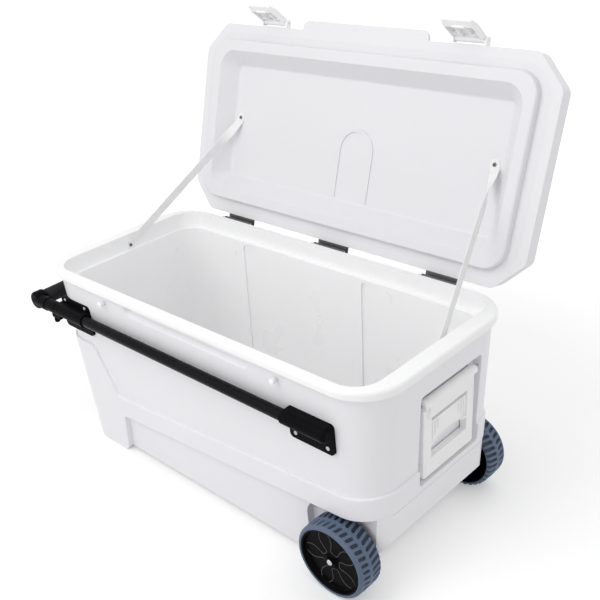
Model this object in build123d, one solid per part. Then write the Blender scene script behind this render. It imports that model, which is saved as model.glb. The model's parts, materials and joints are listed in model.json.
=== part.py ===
from build123d import *
import math
import os

# A wheeled ice chest, in millimetres.  X runs along its length with the wheels at +X, the front faces -Y,
# and Z is up from the ground.  X and Y are measured from the middle of the tub while it is built; the
# whole object is moved once at the end, so that its bounding box is centred over the origin.

# ---------------------------------------------------------------- driving dimensions
rim_length = 920
rim_depth = 420
rim_top = 440
rim_height = 18
rim_corner = 88
lip_overhang = 9
wall_draft = 2.2

shell_wall = 3.5
liner_wall = 3.0

opening_length = rim_length - 66
opening_depth = rim_depth - 34
opening_corner = 52
step_depth = 35          # the shoulder under the rim
step_width = 12
liner_draft = 1.4
floor_height = 60        # inside floor above the ground
wheel_radius = 77
axle_step_height = 130   # raised floor over the axle
axle_step_x = rim_length / 2 - wheel_radius - 91

band_growth = 5          # how far the lower skin stands out from the upper wall
band_lower_left = 2 * wheel_radius - 48
band_upper_left = band_lower_left + 49
band_width_gain = 3
band_slope = 4.75
band_round = 3.5         # rounding of the skin's edges
foot_x = -rim_length / 2 + 188   # inner edge of the two feet
foot_shoulder = 276      # where the skin climbs to at the handle end
foot_lean = 58
foot_tuck = 14           # how far the inner edge leans in towards the ground
foot_toe = 12
lower_inset = 7.6
body_bottom = 12
foot_arch_width = 210
foot_arch_height = 46
foot_arch_end_x = foot_x + 17

wheel_width = 58
wheel_outer_y = rim_depth / 2 + 22
axle_x = rim_length / 2 - wheel_radius - 13.5
axle_radius = 6
axle_running_fit = 0.05
wheel_gap_inner = 9      # between the wheel and the well's inner wall
well_clearance = 17.5    # from the tyre's tread to the well's front wall
well_corner = 46
end_chamfer_top = 106
end_chamfer_run = 67
tyre_thickness = 12
hub_recess = 7
petal_count = 5
petal_half_angle = 27
petal_ridge = 2

hinge_positions = (-285, 0, 285)
hinge_length = 84
hinge_axis_back = 11     # behind the rim's rear face
hinge_axis_drop = 10     # below the lid's seat
hinge_leaf = 1.6
hinge_knuckle = 4.6
hinge_pin_radius = 2.2
hinge_running_fit = 0.12
hinge_gap = 0.4
lid_open_angle = 106.4

lid_length = rim_length - 20
lid_corner = 90          # of the seam on the underside
lid_corner_leg = 58      # the outline's corners are cut off straight
lid_corner_round = 24
lid_top_round = 12
lid_wall_height = 34
lid_height = 58
lid_draft = 3
lid_seam = 17            # width of the lid shell's rolled edge
lid_flange = 3
plug_length = opening_length - 32
plug_depth = opening_depth - 30
plug_corner = 46
plug_drop = 14
pan_rim = 24
pan_rise = 34
pan_slope = 42
arch_rib_half_width = 46
arch_rib_length = 146
arch_rib_width = 6
arch_rib_height = 2.4
lid_tab_half_length = 160
lid_tab_width = 18
lid_tab_height = 9

latch_positions = (-246.5, 246.5)
latch_width = 64
latch_length = 66
latch_wall = 3
latch_pivot_out = 10
latch_pivot_up = 8
latch_pin_radius = 2.5
latch_rest_angle = 22
latch_ear = 5
latch_side_gap = 0.5
keeper_width = 13
keeper_height = 10
keeper_round = 3
keeper_top_drop = 13     # below the rim's underside
keeper_stand = 14

scoop_half_length = 178
scoop_drop = 28
scoop_inward = 9
scoop_taper = 42
scoop_corner = 14

tow_tube_radius = 11.3
tow_tube_wall = 1.3
tow_tube_y = rim_depth / 2 + 4.5
tow_tube_z = 346
slide_tube_radius = 8.8
slide_tube_wall = 1.3
slide_fit = 0.05
guide_left_x = -rim_length / 2 + 46
guide_right_x = guide_left_x + 101
guide_top = 373
guide_bottom = 302
anchor_left_x = rim_length / 2 - 190
anchor_right_x = anchor_left_x + 102
anchor_bottom = 297
anchor_saddle_inset = 2   # the saddle starts this far behind the plate's edge
bracket_plate = 4
bracket_wall = 3
bracket_depth = 30       # how far the blank reaches behind the plate's back before it is fitted to the wall
bracket_screw_inset = 14
tow_travel = 420
collar_length = 22
ring_length = 24
crossbar_x = -rim_length / 2 - 33
crossbar_radius = 19
corner_radius = 20
corner_arm_radius = 14
corner_overhang = 11     # the elbow's outer end beyond the tube's axis
corner_gap = 2
corner_collar_back = 36
corner_collar_length = 12

knob_x = guide_left_x - 17
knob_radius = 6
knob_travel = 5
knob_pin_radius = 2.5
knob_length = 10
ear_half = 8
ear_height = 7
ear_gap = 0.8

side_handle_y = 26
side_handle_half = 78
side_recess_half = 92
side_recess_top = 373
side_recess_bottom = 181
side_recess_depth = 18
side_handle_axis_z = 345
side_barrel_radius = 9.5
side_handle_thickness = 13
side_handle_arm = 20
side_handle_bottom = 188
side_plate_drop = 88     # from the handle's axis down to the ribbed plate's lower edge
side_rod_radius = 3
side_rod_fit = 0.05

stay_tub_y = 8
stay_tub_drop = 26
stay_lid_x = plug_length / 2 - 73
stay_lid_y = -10
stay_width = 16
stay_thickness = 1.4
stay_twist_length = 110
stay_screw_radius = 3.8

drain_z = 76
drain_radius = 11
drain_flange_radius = 19
drain_cap_radius = 14
drain_nut = 6

screw_head_radius = 4
screw_head_height = 1.8
screw_shank_radius = 1.9
screw_length = 12

# ---------------------------------------------------------------- sizes that follow
wall_top = rim_top - rim_height
body_length = rim_length - 2 * lip_overhang
body_depth = rim_depth - 2 * lip_overhang
body_corner = rim_corner - lip_overhang
axle_z = wheel_radius
well_y = wheel_outer_y - wheel_width - wheel_gap_inner
far = 900                # larger than the object, for cutting blocks
slope_rise = math.tan(math.radians(band_slope))
draft_rise = math.tan(math.radians(wall_draft))
hinge_y = rim_depth / 2 + hinge_axis_back
hinge_z = rim_top - hinge_axis_drop
hinge_third = hinge_length / 3
hinge_axis = Axis((0, hinge_y, hinge_z), (1, 0, 0))
latch_y = -rim_depth / 2 - latch_pivot_out
latch_z = rim_top + latch_pivot_up
keeper_top = wall_top - keeper_top_drop
pan_top = rim_top - plug_drop + pan_rise
liner_end_x = opening_length / 2
fixed_tube_left = guide_left_x + 2
fixed_tube_right = anchor_right_x - 12
fixed_bore = tow_tube_radius - tow_tube_wall
collar_right = fixed_tube_left + collar_length
ring_left = collar_right + tow_travel + 0.5
slide_tube_left = crossbar_x + slide_tube_radius + 0.5
crossbar_reach = tow_tube_y - 12
grip_half = tow_tube_y - corner_radius + 2
saddle_radius = tow_tube_radius + bracket_wall
ear_top = tow_tube_z - corner_arm_radius - ear_gap


def tub_wall_y(z):
    """Half-depth of the tub's upper wall at height z."""
    return body_depth / 2 - (wall_top - z) * draft_rise


def tub_end_x(z):
    """Half-length of the tub's upper wall at height z."""
    return body_length / 2 - (wall_top - z) * draft_rise


def band_lower(x):
    return band_lower_left + (x - foot_x) * slope_rise


def band_upper(x):
    return band_upper_left + band_width_gain + (x - foot_x) * slope_rise


# ---------------------------------------------------------------- helpers
def drafted_block(length, depth, corner, top, bottom, draft=wall_draft):
    """Rounded block that narrows downwards from its top outline."""
    outline = Plane.XY.offset(top) * RectangleRounded(length, depth, corner)
    return extrude(outline, amount=top - bottom, dir=(0, 0, -1), taper=draft)


def rising_block(length, depth, corner, bottom, height, draft):
    """Rounded block that narrows upwards from its bottom outline."""
    outline = Plane.XY.offset(bottom) * RectangleRounded(length, depth, corner)
    return extrude(outline, amount=height, dir=(0, 0, 1), taper=draft)


def side_profile(points, rounds=()):
    """Face in the XZ plane through the points, with (index, radius) corners rounded."""
    face = Polygon(*points, align=None)
    for index, radius in rounds:
        x, z = points[index]
        near = face.vertices().sort_by_distance((x, z, 0))[0]
        face = fillet(near, radius)
    return Plane.XZ * face


def across(face, y_from, y_to):
    """The XZ face swept from y_from to y_to."""
    return Pos(0, y_to, 0) * extrude(face, amount=y_to - y_from, dir=(0, -1, 0))


def cylinder_y(radius, x, z, y_from, y_to):
    return across(Plane.XZ * Pos(x, z, 0) * Circle(radius), y_from, y_to)


def cylinder_x(radius, y, z, x_from, x_to):
    return extrude(Plane.YZ.offset(x_from) * Pos(y, z) * Circle(radius), amount=x_to - x_from)


def cylinder_z(radius, x, y, z_from, z_to):
    return extrude(Plane.XY.offset(z_from) * Pos(x, y) * Circle(radius), amount=z_to - z_from)


def slab(x_from, x_to, y_from, y_to, z_from, z_to):
    block = Box(x_to - x_from, y_to - y_from, z_to - z_from, align=(Align.MIN, Align.MIN, Align.MIN))
    return Pos(x_from, y_from, z_from) * block


def screw_y(x, z, seat_y, outward):
    """Pan-head screw along Y; outward is -1 or +1, the way its head faces."""
    head = Cylinder(screw_head_radius, screw_head_height, align=(Align.CENTER, Align.CENTER, Align.MIN))
    head = fillet(head.edges().group_by(Axis.Z)[-1], screw_head_height * 0.6)
    shank = Pos(0, 0, -screw_length) * Cylinder(
        screw_shank_radius, screw_length, align=(Align.CENTER, Align.CENTER, Align.MIN))
    return Pos(x, seat_y, z) * Rot(-90 * outward, 0, 0) * (head + shank)


def shank_y(x, z, seat_y, outward):
    shank = Pos(0, 0, -screw_length) * Cylinder(
        screw_shank_radius, screw_length, align=(Align.CENTER, Align.CENTER, Align.MIN))
    return Pos(x, seat_y, z) * Rot(-90 * outward, 0, 0) * shank


def mirrored_y(shape):
    return mirror(shape, about=Plane.XZ)


def opened(shape):
    """Lid pieces are modelled shut and then swung open."""
    return shape.rotate(hinge_axis, -lid_open_angle)


# ---------------------------------------------------------------- tub forms
def upper_wall(inset, bottom):
    return drafted_block(body_length - 2 * inset, body_depth - 2 * inset, body_corner - inset,
                         wall_top, bottom)


def lower_wall(inset, bottom):
    """Lower body between the feet and the wheels, flush with the skin at both ends."""
    length = body_length + 2 * band_growth - 2 * inset
    depth = body_depth - 2 * lower_inset - 2 * inset
    block = drafted_block(length, depth, body_corner - inset - lower_inset, wall_top, bottom)
    below = slab(-far, far, -far, far, bottom - 1, band_lower_left + 60)
    return block & below


def foot_edge(grow):
    """Inner edge of the feet: it leans in towards the ground and ends in a cut-off toe."""
    foot_end = foot_x - foot_tuck - grow
    return [(foot_end - foot_toe, -1), (foot_end, foot_toe), (foot_x - grow, band_lower_left + grow)]


def skin_edges(skin):
    """Edges between the skin's outside and its sloping top and bottom."""
    sides = [face for face in skin.faces() if faces_sideways(face)]
    found = []
    for edge in skin.edges():
        touching = [face for face in sides if any(edge.is_same(other) for other in face.edges())]
        if len(touching) == 1 and edge.center().Z > 1:
            found.append(edge)
    return found


def faces_sideways(face):
    normal = face.normal_at(face.center())
    across_y = abs(normal.Y) > 0.3
    at_an_end = abs(face.center().X) > body_length / 2 - 50
    return abs(normal.Z) < 0.1 and (across_y or at_an_end)


def band_skin():
    """The proud lower skin: a sloping band that climbs over the feet at the handle end."""
    profile = side_profile([
        (-far, -1), *foot_edge(0), (far, band_lower(far)),
        (far, band_upper(far)), (foot_x - 4, band_upper(foot_x - 4)),
        (foot_x - foot_lean, foot_shoulder), (-far, foot_shoulder)],
        [(2, 10), (3, 8), (6, 24), (7, 20)])
    block = drafted_block(body_length + 2 * band_growth, body_depth + 2 * band_growth,
                          body_corner + band_growth, wall_top, 0)
    skin = block & across(profile, -far, far)
    return fillet(skin_edges(skin), band_round)


def under_band(grow):
    """Everything below the skin's lower edge, between the feet and the wheel end."""
    profile = side_profile([
        *foot_edge(grow), (far, band_lower(far) + grow), (far, -1)],
        [(1, 10), (2, 8)])
    return across(profile, -far, far)


def wheel_wells(grow):
    left = axle_x - wheel_radius - well_clearance - grow
    profile = side_profile([
        (left, -far), (left, band_lower(left) + grow), (far, band_lower(far) + grow), (far, -far)],
        [(1, well_corner + grow)])
    one = across(profile, well_y - grow, far)
    return one + mirrored_y(one)


def end_chamfer(grow):
    """The wheel end is cut away below, so that the tub clears the ground while it is towed."""
    top_x = tub_end_x(end_chamfer_top) + band_growth - grow
    top_z = end_chamfer_top + grow
    run = end_chamfer_run
    rise = end_chamfer_top - body_bottom
    profile = side_profile([
        (top_x + run, top_z + rise), (top_x - 2 * run, top_z - 2 * rise), (far, top_z - 2 * rise)])
    return across(profile, -far, far)


def foot_arch(grow):
    profile = Plane.YZ.offset(-far) * Pos(0, -far / 2 + (foot_arch_height + grow) / 2) * RectangleRounded(
        foot_arch_width + 2 * grow, foot_arch_height + grow + far, 30)
    return extrude(profile, amount=far + foot_arch_end_x + grow)


def finger_scoop(grow):
    """Long hollow under the front of the rim for lifting the lid."""
    height = 2 * scoop_drop + 2 * grow
    outline = Plane.XZ * Pos(0, wall_top) * RectangleRounded(
        2 * scoop_half_length + 2 * grow, height, scoop_corner + grow)
    cut = extrude(outline, amount=scoop_inward + grow, dir=(0, 1, 0), taper=scoop_taper)
    cut = cut + extrude(outline, amount=scoop_inward, dir=(0, -1, 0))
    return Pos(0, -tub_wall_y(wall_top - scoop_drop), 0) * cut


def side_recess(grow):
    """Pocket in the wheel end that the carrying handle hangs in."""
    height = side_recess_top - side_recess_bottom + 2 * grow
    middle = (side_recess_top + side_recess_bottom) / 2
    floor_x = tub_end_x(side_handle_axis_z) - side_recess_depth - grow
    outline = Plane.YZ.offset(floor_x) * Pos(side_handle_y, middle) * RectangleRounded(
        2 * side_recess_half + 2 * grow, height, 10)
    return extrude(outline, amount=far)


def tub_outer_form():
    body = upper_wall(0, body_bottom) + band_skin() - under_band(0)
    body = body + lower_wall(0, body_bottom)
    body = body - wheel_wells(0) - end_chamfer(0) - foot_arch(0)
    body = body - finger_scoop(0) - side_recess(0)
    return body


def tub_cavity():
    """Hollow inside the outer shell."""
    hollow = upper_wall(shell_wall, body_bottom) - under_band(shell_wall)
    hollow = hollow + lower_wall(shell_wall, body_bottom + shell_wall)
    hollow = hollow - wheel_wells(shell_wall) - end_chamfer(shell_wall) - foot_arch(shell_wall)
    return hollow - finger_scoop(shell_wall) - side_recess(shell_wall)


def wall_channels(grow):
    """Shallow upright flutes in the liner's two long walls."""
    flutes = None
    for x in (-rim_length / 2 + 252, rim_length / 2 - 318):
        top = rim_top - step_depth - 6
        outline = Plane.XZ * Pos(x, (top + floor_height + 30) / 2) * RectangleRounded(
            46 + 2 * grow, top - floor_height - 30 + 2 * grow, 12)
        flute = extrude(outline, amount=opening_depth / 2 - step_width + 4 + grow, both=True)
        flutes = flute if flutes is None else flutes + flute
    return flutes


def liner_void(grow):
    """Space inside the liner; grown by the liner's wall it gives the liner's outer form."""
    mouth = drafted_block(opening_length + 2 * grow, opening_depth + 2 * grow, opening_corner + grow,
                          rim_top, rim_top - step_depth - grow, 0)
    length = opening_length - 2 * step_width
    depth = opening_depth - 2 * step_width
    well = drafted_block(length + 2 * grow, depth + 2 * grow, opening_corner - 4 + grow,
                         rim_top - step_depth, floor_height - grow, liner_draft)
    fluted = wall_channels(grow) & drafted_block(
        length + 2 * grow, depth + 8 + 2 * grow, opening_corner, rim_top - step_depth, floor_height, liner_draft)
    well = well + fluted
    over_axle = side_profile([
        (axle_step_x + grow, -1), (axle_step_x + 16 + grow, axle_step_height - grow),
        (far, axle_step_height - grow), (far, -1)])
    well = well - across(over_axle, -far, far)
    margin = 14
    left = axle_x - wheel_radius - well_clearance - margin + grow
    top = band_lower(axle_x) + margin + 8 - grow
    bump = slab(left, far, well_y - margin + grow, far, -1, top)
    bump = fillet(bump.edges().filter_by(Axis.Y).group_by(Axis.Z)[-1].sort_by(Axis.X)[0], well_corner)
    return mouth + (well - bump - mirrored_y(bump)) - scoop_back(grow)


def scoop_back(grow):
    """The liner gives way behind the finger scoop."""
    skins = shell_wall + liner_wall - grow
    return finger_scoop(skins) & slab(-far, far, -far, far, 0, wall_top + skins)


# ---------------------------------------------------------------- tub pieces
outer_form = tub_outer_form()
liner_form = liner_void(liner_wall)
cavity = tub_cavity()


def rim_ring():
    ring = drafted_block(rim_length, rim_depth, rim_corner, rim_top, wall_top, 0)
    ring = fillet(ring.edges().group_by(Axis.Z)[-1], 7)
    ring = fillet(ring.edges().group_by(Axis.Z)[0], 3)
    return ring


def rim_hollow():
    outer = drafted_block(body_length - 2 * shell_wall, body_depth - 2 * shell_wall, body_corner - shell_wall,
                          rim_top - shell_wall, wall_top - 1, 0)
    inner = drafted_block(opening_length + 2 * liner_wall, opening_depth + 2 * liner_wall,
                          opening_corner + liner_wall, rim_top, wall_top - 2, 0)
    return outer - inner


def tub_liner():
    rim = rim_ring() - rim_hollow()
    void = liner_void(0)
    return (rim + (liner_form - void)) - void


def tub_shell():
    return outer_form - cavity - liner_form


def tub_foam():
    upper = rim_hollow() & slab(-far, far, -far, far, wall_top, rim_top)
    return (cavity + upper) - liner_form


def latch_keepers():
    """Two moulded hooks under the rim that the latches catch."""
    top = keeper_top
    bottom = top - keeper_height
    back = rim_depth / 2 - 40
    front = tub_wall_y(top) + keeper_stand
    outline = Plane.YZ * Polygon(
        (-back, top), (-front + 9, top), (-front, top - 6), (-front, bottom), (-back, bottom), align=None)
    keeper = extrude(outline, amount=keeper_width / 2, both=True)
    keeper = fillet(keeper.edges().filter_by(Axis.Z).sort_by(Axis.Y)[0:2], keeper_round)
    keeper = keeper - upper_wall(0, body_bottom)
    return [Pos(x, 0, 0) * keeper for x in latch_positions]


def hinge_barrel(x_from, x_to):
    return cylinder_x(hinge_knuckle, hinge_y, hinge_z, x_from, x_to)


def hinge_tub_leaf():
    """Fixed leaf: a strip on the back of the rim, bent out to a barrel at each end."""
    half = hinge_length / 2
    face = rim_depth / 2
    web_bottom = hinge_z - hinge_knuckle
    leaf = slab(-half, half, face - 8, face + hinge_leaf, web_bottom, rim_top - 3)
    leaf = leaf + slab(-half, half, face, hinge_y - hinge_knuckle - hinge_gap, web_bottom, web_bottom + hinge_leaf)
    for start in (-half, half - hinge_third):
        web = slab(start, start + hinge_third, face, hinge_y, web_bottom, web_bottom + hinge_leaf)
        leaf = leaf + web + hinge_barrel(start, start + hinge_third)
    leaf = leaf - cylinder_x(hinge_pin_radius, hinge_y, hinge_z, -half, half)
    return leaf - rim_ring()


def hinge_lid_leaf():
    """Moving leaf: a strip on the back of the lid, bent out and down behind the barrels."""
    half = hinge_length / 2
    face = rim_depth / 2
    inner = hinge_third / 2 - hinge_gap
    strip_bottom = rim_top + 1.5
    apron = hinge_y + hinge_knuckle + hinge_gap
    back = apron + hinge_leaf
    apron_bottom = hinge_z + 1.5
    leaf = slab(-half, half, face - 8, face + hinge_leaf, strip_bottom, strip_bottom + 20)
    leaf = leaf + slab(-half, half, face, back, strip_bottom, strip_bottom + hinge_leaf)
    leaf = leaf + slab(-half, half, apron, back, apron_bottom, strip_bottom + hinge_leaf)
    leaf = leaf + hinge_barrel(-inner, inner)
    leaf = leaf + slab(-inner, inner, hinge_y + 1, back, apron_bottom, hinge_z + hinge_knuckle)
    leaf = leaf - cylinder_x(hinge_pin_radius + hinge_running_fit, hinge_y, hinge_z, -half, half)
    return leaf - lid_form(0, rim_top)


def at_hinges(piece):
    return [Pos(x, 0, 0) * piece for x in hinge_positions]


def hinge_pin():
    half = hinge_length / 2
    return cylinder_x(hinge_pin_radius, hinge_y, hinge_z, -half, half)


def hinge_screw_places(z):
    half = hinge_length / 2
    return [(x + side * (half - 10), z) for x in hinge_positions for side in (-1, 1)]


tub_hinge_screws = hinge_screw_places(rim_top - 8)
lid_hinge_screws = hinge_screw_places(rim_top + 14)


# ---------------------------------------------------------------- lid pieces
def lid_outline(inset):
    """The lid seen from above: a rectangle with its corners cut off and rounded."""
    leg = lid_corner_leg - inset * (2 - math.sqrt(2))
    outline = chamfer(Rectangle(lid_length - 2 * inset, rim_depth - 2 * inset).vertices(), leg)
    return fillet(outline.vertices(), lid_corner_round - inset)


def lid_form(inset, base):
    """The lid's outer shape, or its inside when it is inset."""
    shoulder = rim_top + lid_wall_height
    lean = math.tan(math.radians(lid_draft))
    start = inset + (base - rim_top) * lean
    step = (shoulder - base) * lean
    walls = extrude(Plane.XY.offset(base) * lid_outline(start), amount=shoulder - base, taper=lid_draft)
    crown = extrude(Plane.XY.offset(shoulder) * lid_outline(start + step),
                    amount=lid_height - lid_wall_height - inset, taper=50)
    form = walls + crown
    return fillet(form.edges().group_by(Axis.Z)[-1], lid_top_round)


def lid_mouth(bottom, top):
    return drafted_block(lid_length - 2 * lid_seam, rim_depth - 2 * lid_seam, lid_corner - lid_seam,
                         top, bottom, 0)


def lid_tab():
    """Lip along the front edge that the fingers lift."""
    length = 2 * lid_tab_half_length
    outline = Plane.XY.offset(rim_top) * Pos(0, -rim_depth / 2) * RectangleRounded(
        length, 2 * lid_tab_width, 16)
    tab = extrude(outline, amount=lid_tab_height)
    return fillet(tab.edges().group_by(Axis.Z)[-1], 4)


def lid_shell():
    inside = lid_form(shell_wall, rim_top + lid_flange)
    outside = lid_form(0, rim_top) + (lid_tab() - slab(-far, far, 30 - rim_depth / 2, far, 0, far))
    return outside - inside - lid_mouth(rim_top, rim_top + lid_flange)


def plug_block(inset):
    block = drafted_block(plug_length - 2 * inset, plug_depth - 2 * inset, plug_corner - inset,
                          rim_top + lid_flange, rim_top - plug_drop + inset, 5)
    return fillet(block.edges().group_by(Axis.Z)[0], 5)


def pan(grow):
    """The recess in the lid's underside; grown, it is the back of the liner's skin."""
    length = plug_length - 2 * pan_rim + 2.4 * grow
    depth = plug_depth - 2 * pan_rim + 2.4 * grow
    block = rising_block(length, depth, plug_corner - 6, rim_top - plug_drop, pan_rise + grow, pan_slope)
    return fillet(block.edges().group_by(Axis.Z)[-1], 8)


def arch_rib():
    """Raised arch moulded on the recess."""
    def arch(width):
        outer = Rectangle(2 * width, arch_rib_length - width, align=(Align.CENTER, Align.MIN)) + Circle(width)
        return outer

    band = arch(arch_rib_half_width) - arch(arch_rib_half_width - arch_rib_width)
    top = rim_top - plug_drop + pan_rise
    start = plug_depth / 2 - pan_rim - pan_rise - 4 - arch_rib_length + arch_rib_half_width
    outline = Plane.XY.offset(top - arch_rib_height) * Pos(10, start) * band
    return extrude(outline, amount=arch_rib_height + 1)


def lid_liner():
    skin = lid_mouth(rim_top, rim_top + lid_flange) + plug_block(0) + pan(liner_wall)
    hollow = plug_block(liner_wall) - pan(liner_wall)
    return skin - hollow - pan(0) + arch_rib()


def lid_foam():
    inside = lid_form(shell_wall, rim_top + lid_flange)
    return (inside + plug_block(liner_wall)) - pan(liner_wall)


def latch_mount():
    """Two ears on a pad that carry one latch's pin."""
    inner = latch_width / 2 + latch_side_gap
    outer = inner + latch_ear
    back = latch_y + latch_pivot_out + 14
    bottom = rim_top + 1
    pad = slab(-outer, outer, latch_y + 8, back, bottom, latch_z + 9)
    eye = cylinder_x(6.5, latch_y, latch_z, -outer, outer) + slab(
        -outer, outer, latch_y, back, bottom, latch_z + 6.5)
    eye = eye - slab(-inner, inner, -far, far, 0, far)
    mount = pad + eye
    mount = mount - cylinder_x(latch_pin_radius, latch_y, latch_z, -outer, outer)
    return mount - lid_form(0, rim_top)


def latch_pin():
    half = latch_width / 2 + latch_side_gap + latch_ear
    return cylinder_x(latch_pin_radius, latch_y, latch_z, -half, half)


def latch_paddle():
    """A latch hanging straight down from its pivot at the origin; its outside faces -Y."""
    length = latch_length
    wall = latch_wall
    width = latch_width

    def side(inset):
        return Polygon(
            (-6 + inset, 5), (-8 + inset, -14), (-8.5 + inset, -length + 22), (-4 + inset * 0.8, -length + inset),
            (1, -length + inset), (5, -length + 16), (5, 5), align=None)

    body = extrude(Plane.YZ * side(0), amount=width / 2, both=True)
    body = fillet(body.edges().filter_by(Axis.X).sort_by(Axis.Y)[0:3], 4)
    body = fillet(body.faces().sort_by(Axis.X)[-1].edges().sort_by(Axis.Y)[0], 2)
    body = fillet(body.faces().sort_by(Axis.X)[0].edges().sort_by(Axis.Y)[0], 2)
    pocket = extrude(Plane.YZ * side(wall), amount=width / 2 - wall, both=True)
    pocket = pocket - slab(-far, far, -far, far, -9, far)
    body = body - pocket
    barrel = cylinder_x(6, 0, 0, -width / 2, width / 2)
    body = body - slab(-far, far, 0, far, -9, far) + barrel
    hook_top = keeper_top - keeper_height - latch_z - 0.4
    hook = slab(-keeper_width, keeper_width, -7, 6.5, hook_top - 4, hook_top)
    bar = slab(-width / 2 + wall / 2, width / 2 - wall / 2, -7, 3, -20, -17)
    body = body + hook + bar
    for x in (-keeper_width, keeper_width - 2.5):
        body = body + slab(x, x + 2.5, -7, 3, -length + 12, -12)
    keeper_room = slab(-keeper_width / 2 - 2, keeper_width / 2 + 2, -2.5, far, hook_top, -9)
    body = body - keeper_room
    return body - cylinder_x(latch_pin_radius + 0.05, 0, 0, -width, width)


def latch(x):
    """A latch at its resting angle on the lid."""
    piece = Rot(-latch_rest_angle, 0, 0) * latch_paddle()
    return opened(Pos(x, latch_y, latch_z) * piece)


def opened_point(x, y, z):
    angle = math.radians(-lid_open_angle)
    out = y - hinge_y
    up = z - hinge_z
    return Vector(x, hinge_y + out * math.cos(angle) - up * math.sin(angle),
                  hinge_z + out * math.sin(angle) + up * math.cos(angle))


def stay_ends(side):
    """The two fixing points of one stay, each with the direction its surface faces."""
    lid_point = opened_point(side * stay_lid_x, stay_lid_y, pan_top)
    lid_normal = opened_point(0, 0, 0) - opened_point(0, 0, 1)
    tub_point = Vector(side * liner_end_x, stay_tub_y, rim_top - stay_tub_drop)
    return (lid_point, lid_normal), (tub_point, Vector(-side, 0, 0))


def stay_eyelet(point, normal):
    plane = Plane(origin=point, z_dir=normal)
    return extrude(plane * (Circle(stay_width / 2) - Circle(screw_shank_radius)), amount=stay_thickness)


def stay_leaving(point, normal, towards):
    """Where the tape leaves an eyelet on its way to the other end."""
    chord = towards - point
    flat = (chord - normal * chord.dot(normal)).normalized()
    return point + normal * (stay_thickness / 2) + flat * (stay_width / 2 - 1.5)


def lid_stay(side):
    """Flat strap from the lid's recess to the liner's end wall, drawn tight, with its twist near the lid."""
    (lid_point, lid_normal), (tub_point, tub_normal) = stay_ends(side)
    start = stay_leaving(lid_point, lid_normal, tub_point)
    end = stay_leaving(tub_point, tub_normal, lid_point)
    length = (end - start).length
    along = (end - start).normalized()
    flat_on_lid = along.cross(lid_normal).normalized()
    flat_on_tub = along.cross(tub_normal).normalized()
    turn = flat_on_lid.get_signed_angle(flat_on_tub, along)
    if abs(turn) > 90:
        turn = turn - math.copysign(180, turn)

    def section(distance, angle):
        plane = Plane(origin=start + along * distance, x_dir=flat_on_lid, z_dir=along)
        return plane * Rot(0, 0, angle) * Rectangle(stay_width * 0.8, stay_thickness)

    steps = 4
    sections = [section(stay_twist_length * step / steps, turn * step / steps) for step in range(steps + 1)]
    tape = loft(sections, ruled=True) + extrude(sections[-1], amount=length - stay_twist_length, dir=along)
    return tape + stay_eyelet(lid_point, lid_normal) + stay_eyelet(tub_point, tub_normal)


def screw_on(point, normal):
    """Round-head screw whose head sits one strap thickness off the surface."""
    plane = Plane(origin=point + normal * stay_thickness, z_dir=normal)
    head = extrude(plane * Circle(stay_screw_radius), amount=screw_head_height + 0.6)
    head = fillet(head.edges().sort_by_distance(point)[-1], 1.4)
    shank = extrude(plane * Circle(screw_shank_radius), amount=-screw_length)
    return head + shank


def stay_screw_lid(side):
    return screw_on(*stay_ends(side)[0])


def stay_screw_tub(side):
    return screw_on(*stay_ends(side)[1])


# ---------------------------------------------------------------- tow handle
def bracket_plate_block(left, right, bottom, top):
    """Flat flange against the tub's wall."""
    wall = tub_wall_y(tow_tube_z)
    outline = Plane.XZ.offset(wall - bracket_depth) * Pos((left + right) / 2, (bottom + top) / 2) * RectangleRounded(
        right - left, top - bottom, 9)
    return extrude(outline, amount=bracket_depth + bracket_plate)


def bracket_saddle(left, right):
    """Half-round housing that wraps the tube."""
    saddle = cylinder_x(saddle_radius, -tow_tube_y, tow_tube_z, left, right)
    saddle = saddle + slab(left, right, -tow_tube_y, 0, tow_tube_z - saddle_radius, tow_tube_z + saddle_radius)
    return saddle & slab(left, right, -far, bracket_depth - tub_wall_y(tow_tube_z), 0, far)


def knob_ear():
    """Lug under the front elbow that carries the release knob."""
    ear = slab(knob_x - ear_half, guide_left_x + 6, -tow_tube_y - ear_half, -tow_tube_y + ear_half,
               ear_top - ear_height, ear_top)
    ear = fillet(ear.edges().filter_by(Axis.Z).group_by(Axis.X)[0], ear_half - 1)
    root = slab(guide_left_x, guide_left_x + 10, -tow_tube_y - ear_half, -tow_tube_y + ear_half,
                ear_top - ear_height, tow_tube_z)
    return ear + root


def guide_bracket(side):
    """Bracket at the handle end: the sliding tube comes out through it."""
    bracket = bracket_plate_block(guide_left_x, guide_right_x, guide_bottom, guide_top)
    bracket = bracket + bracket_saddle(guide_left_x, guide_right_x)
    if side < 0:
        bracket = bracket + knob_ear()
    bracket = bracket - cylinder_x(tow_tube_radius, -tow_tube_y, tow_tube_z, fixed_tube_left, guide_right_x)
    bracket = bracket - cylinder_x(slide_tube_radius + 1, -tow_tube_y, tow_tube_z, guide_left_x, fixed_tube_left)
    if side < 0:
        bracket = bracket - cylinder_z(knob_pin_radius + 0.05, knob_x, -tow_tube_y, 0, tow_tube_z)
    bracket = bracket - outer_form
    return bracket if side < 0 else mirrored_y(bracket)


def anchor_bracket(side):
    """Closed bracket at the wheel end that holds the fixed tube's other end."""
    saddle = bracket_saddle(anchor_left_x + anchor_saddle_inset, anchor_right_x)
    saddle = fillet(saddle.faces().sort_by(Axis.X)[-1].edges().sort_by(Axis.Y)[0], 8)
    bracket = bracket_plate_block(anchor_left_x, anchor_right_x, anchor_bottom, tow_tube_z + saddle_radius) + saddle
    bracket = bracket - cylinder_x(tow_tube_radius, -tow_tube_y, tow_tube_z, anchor_left_x, fixed_tube_right)
    bracket = bracket - outer_form
    return bracket if side < 0 else mirrored_y(bracket)


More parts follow.
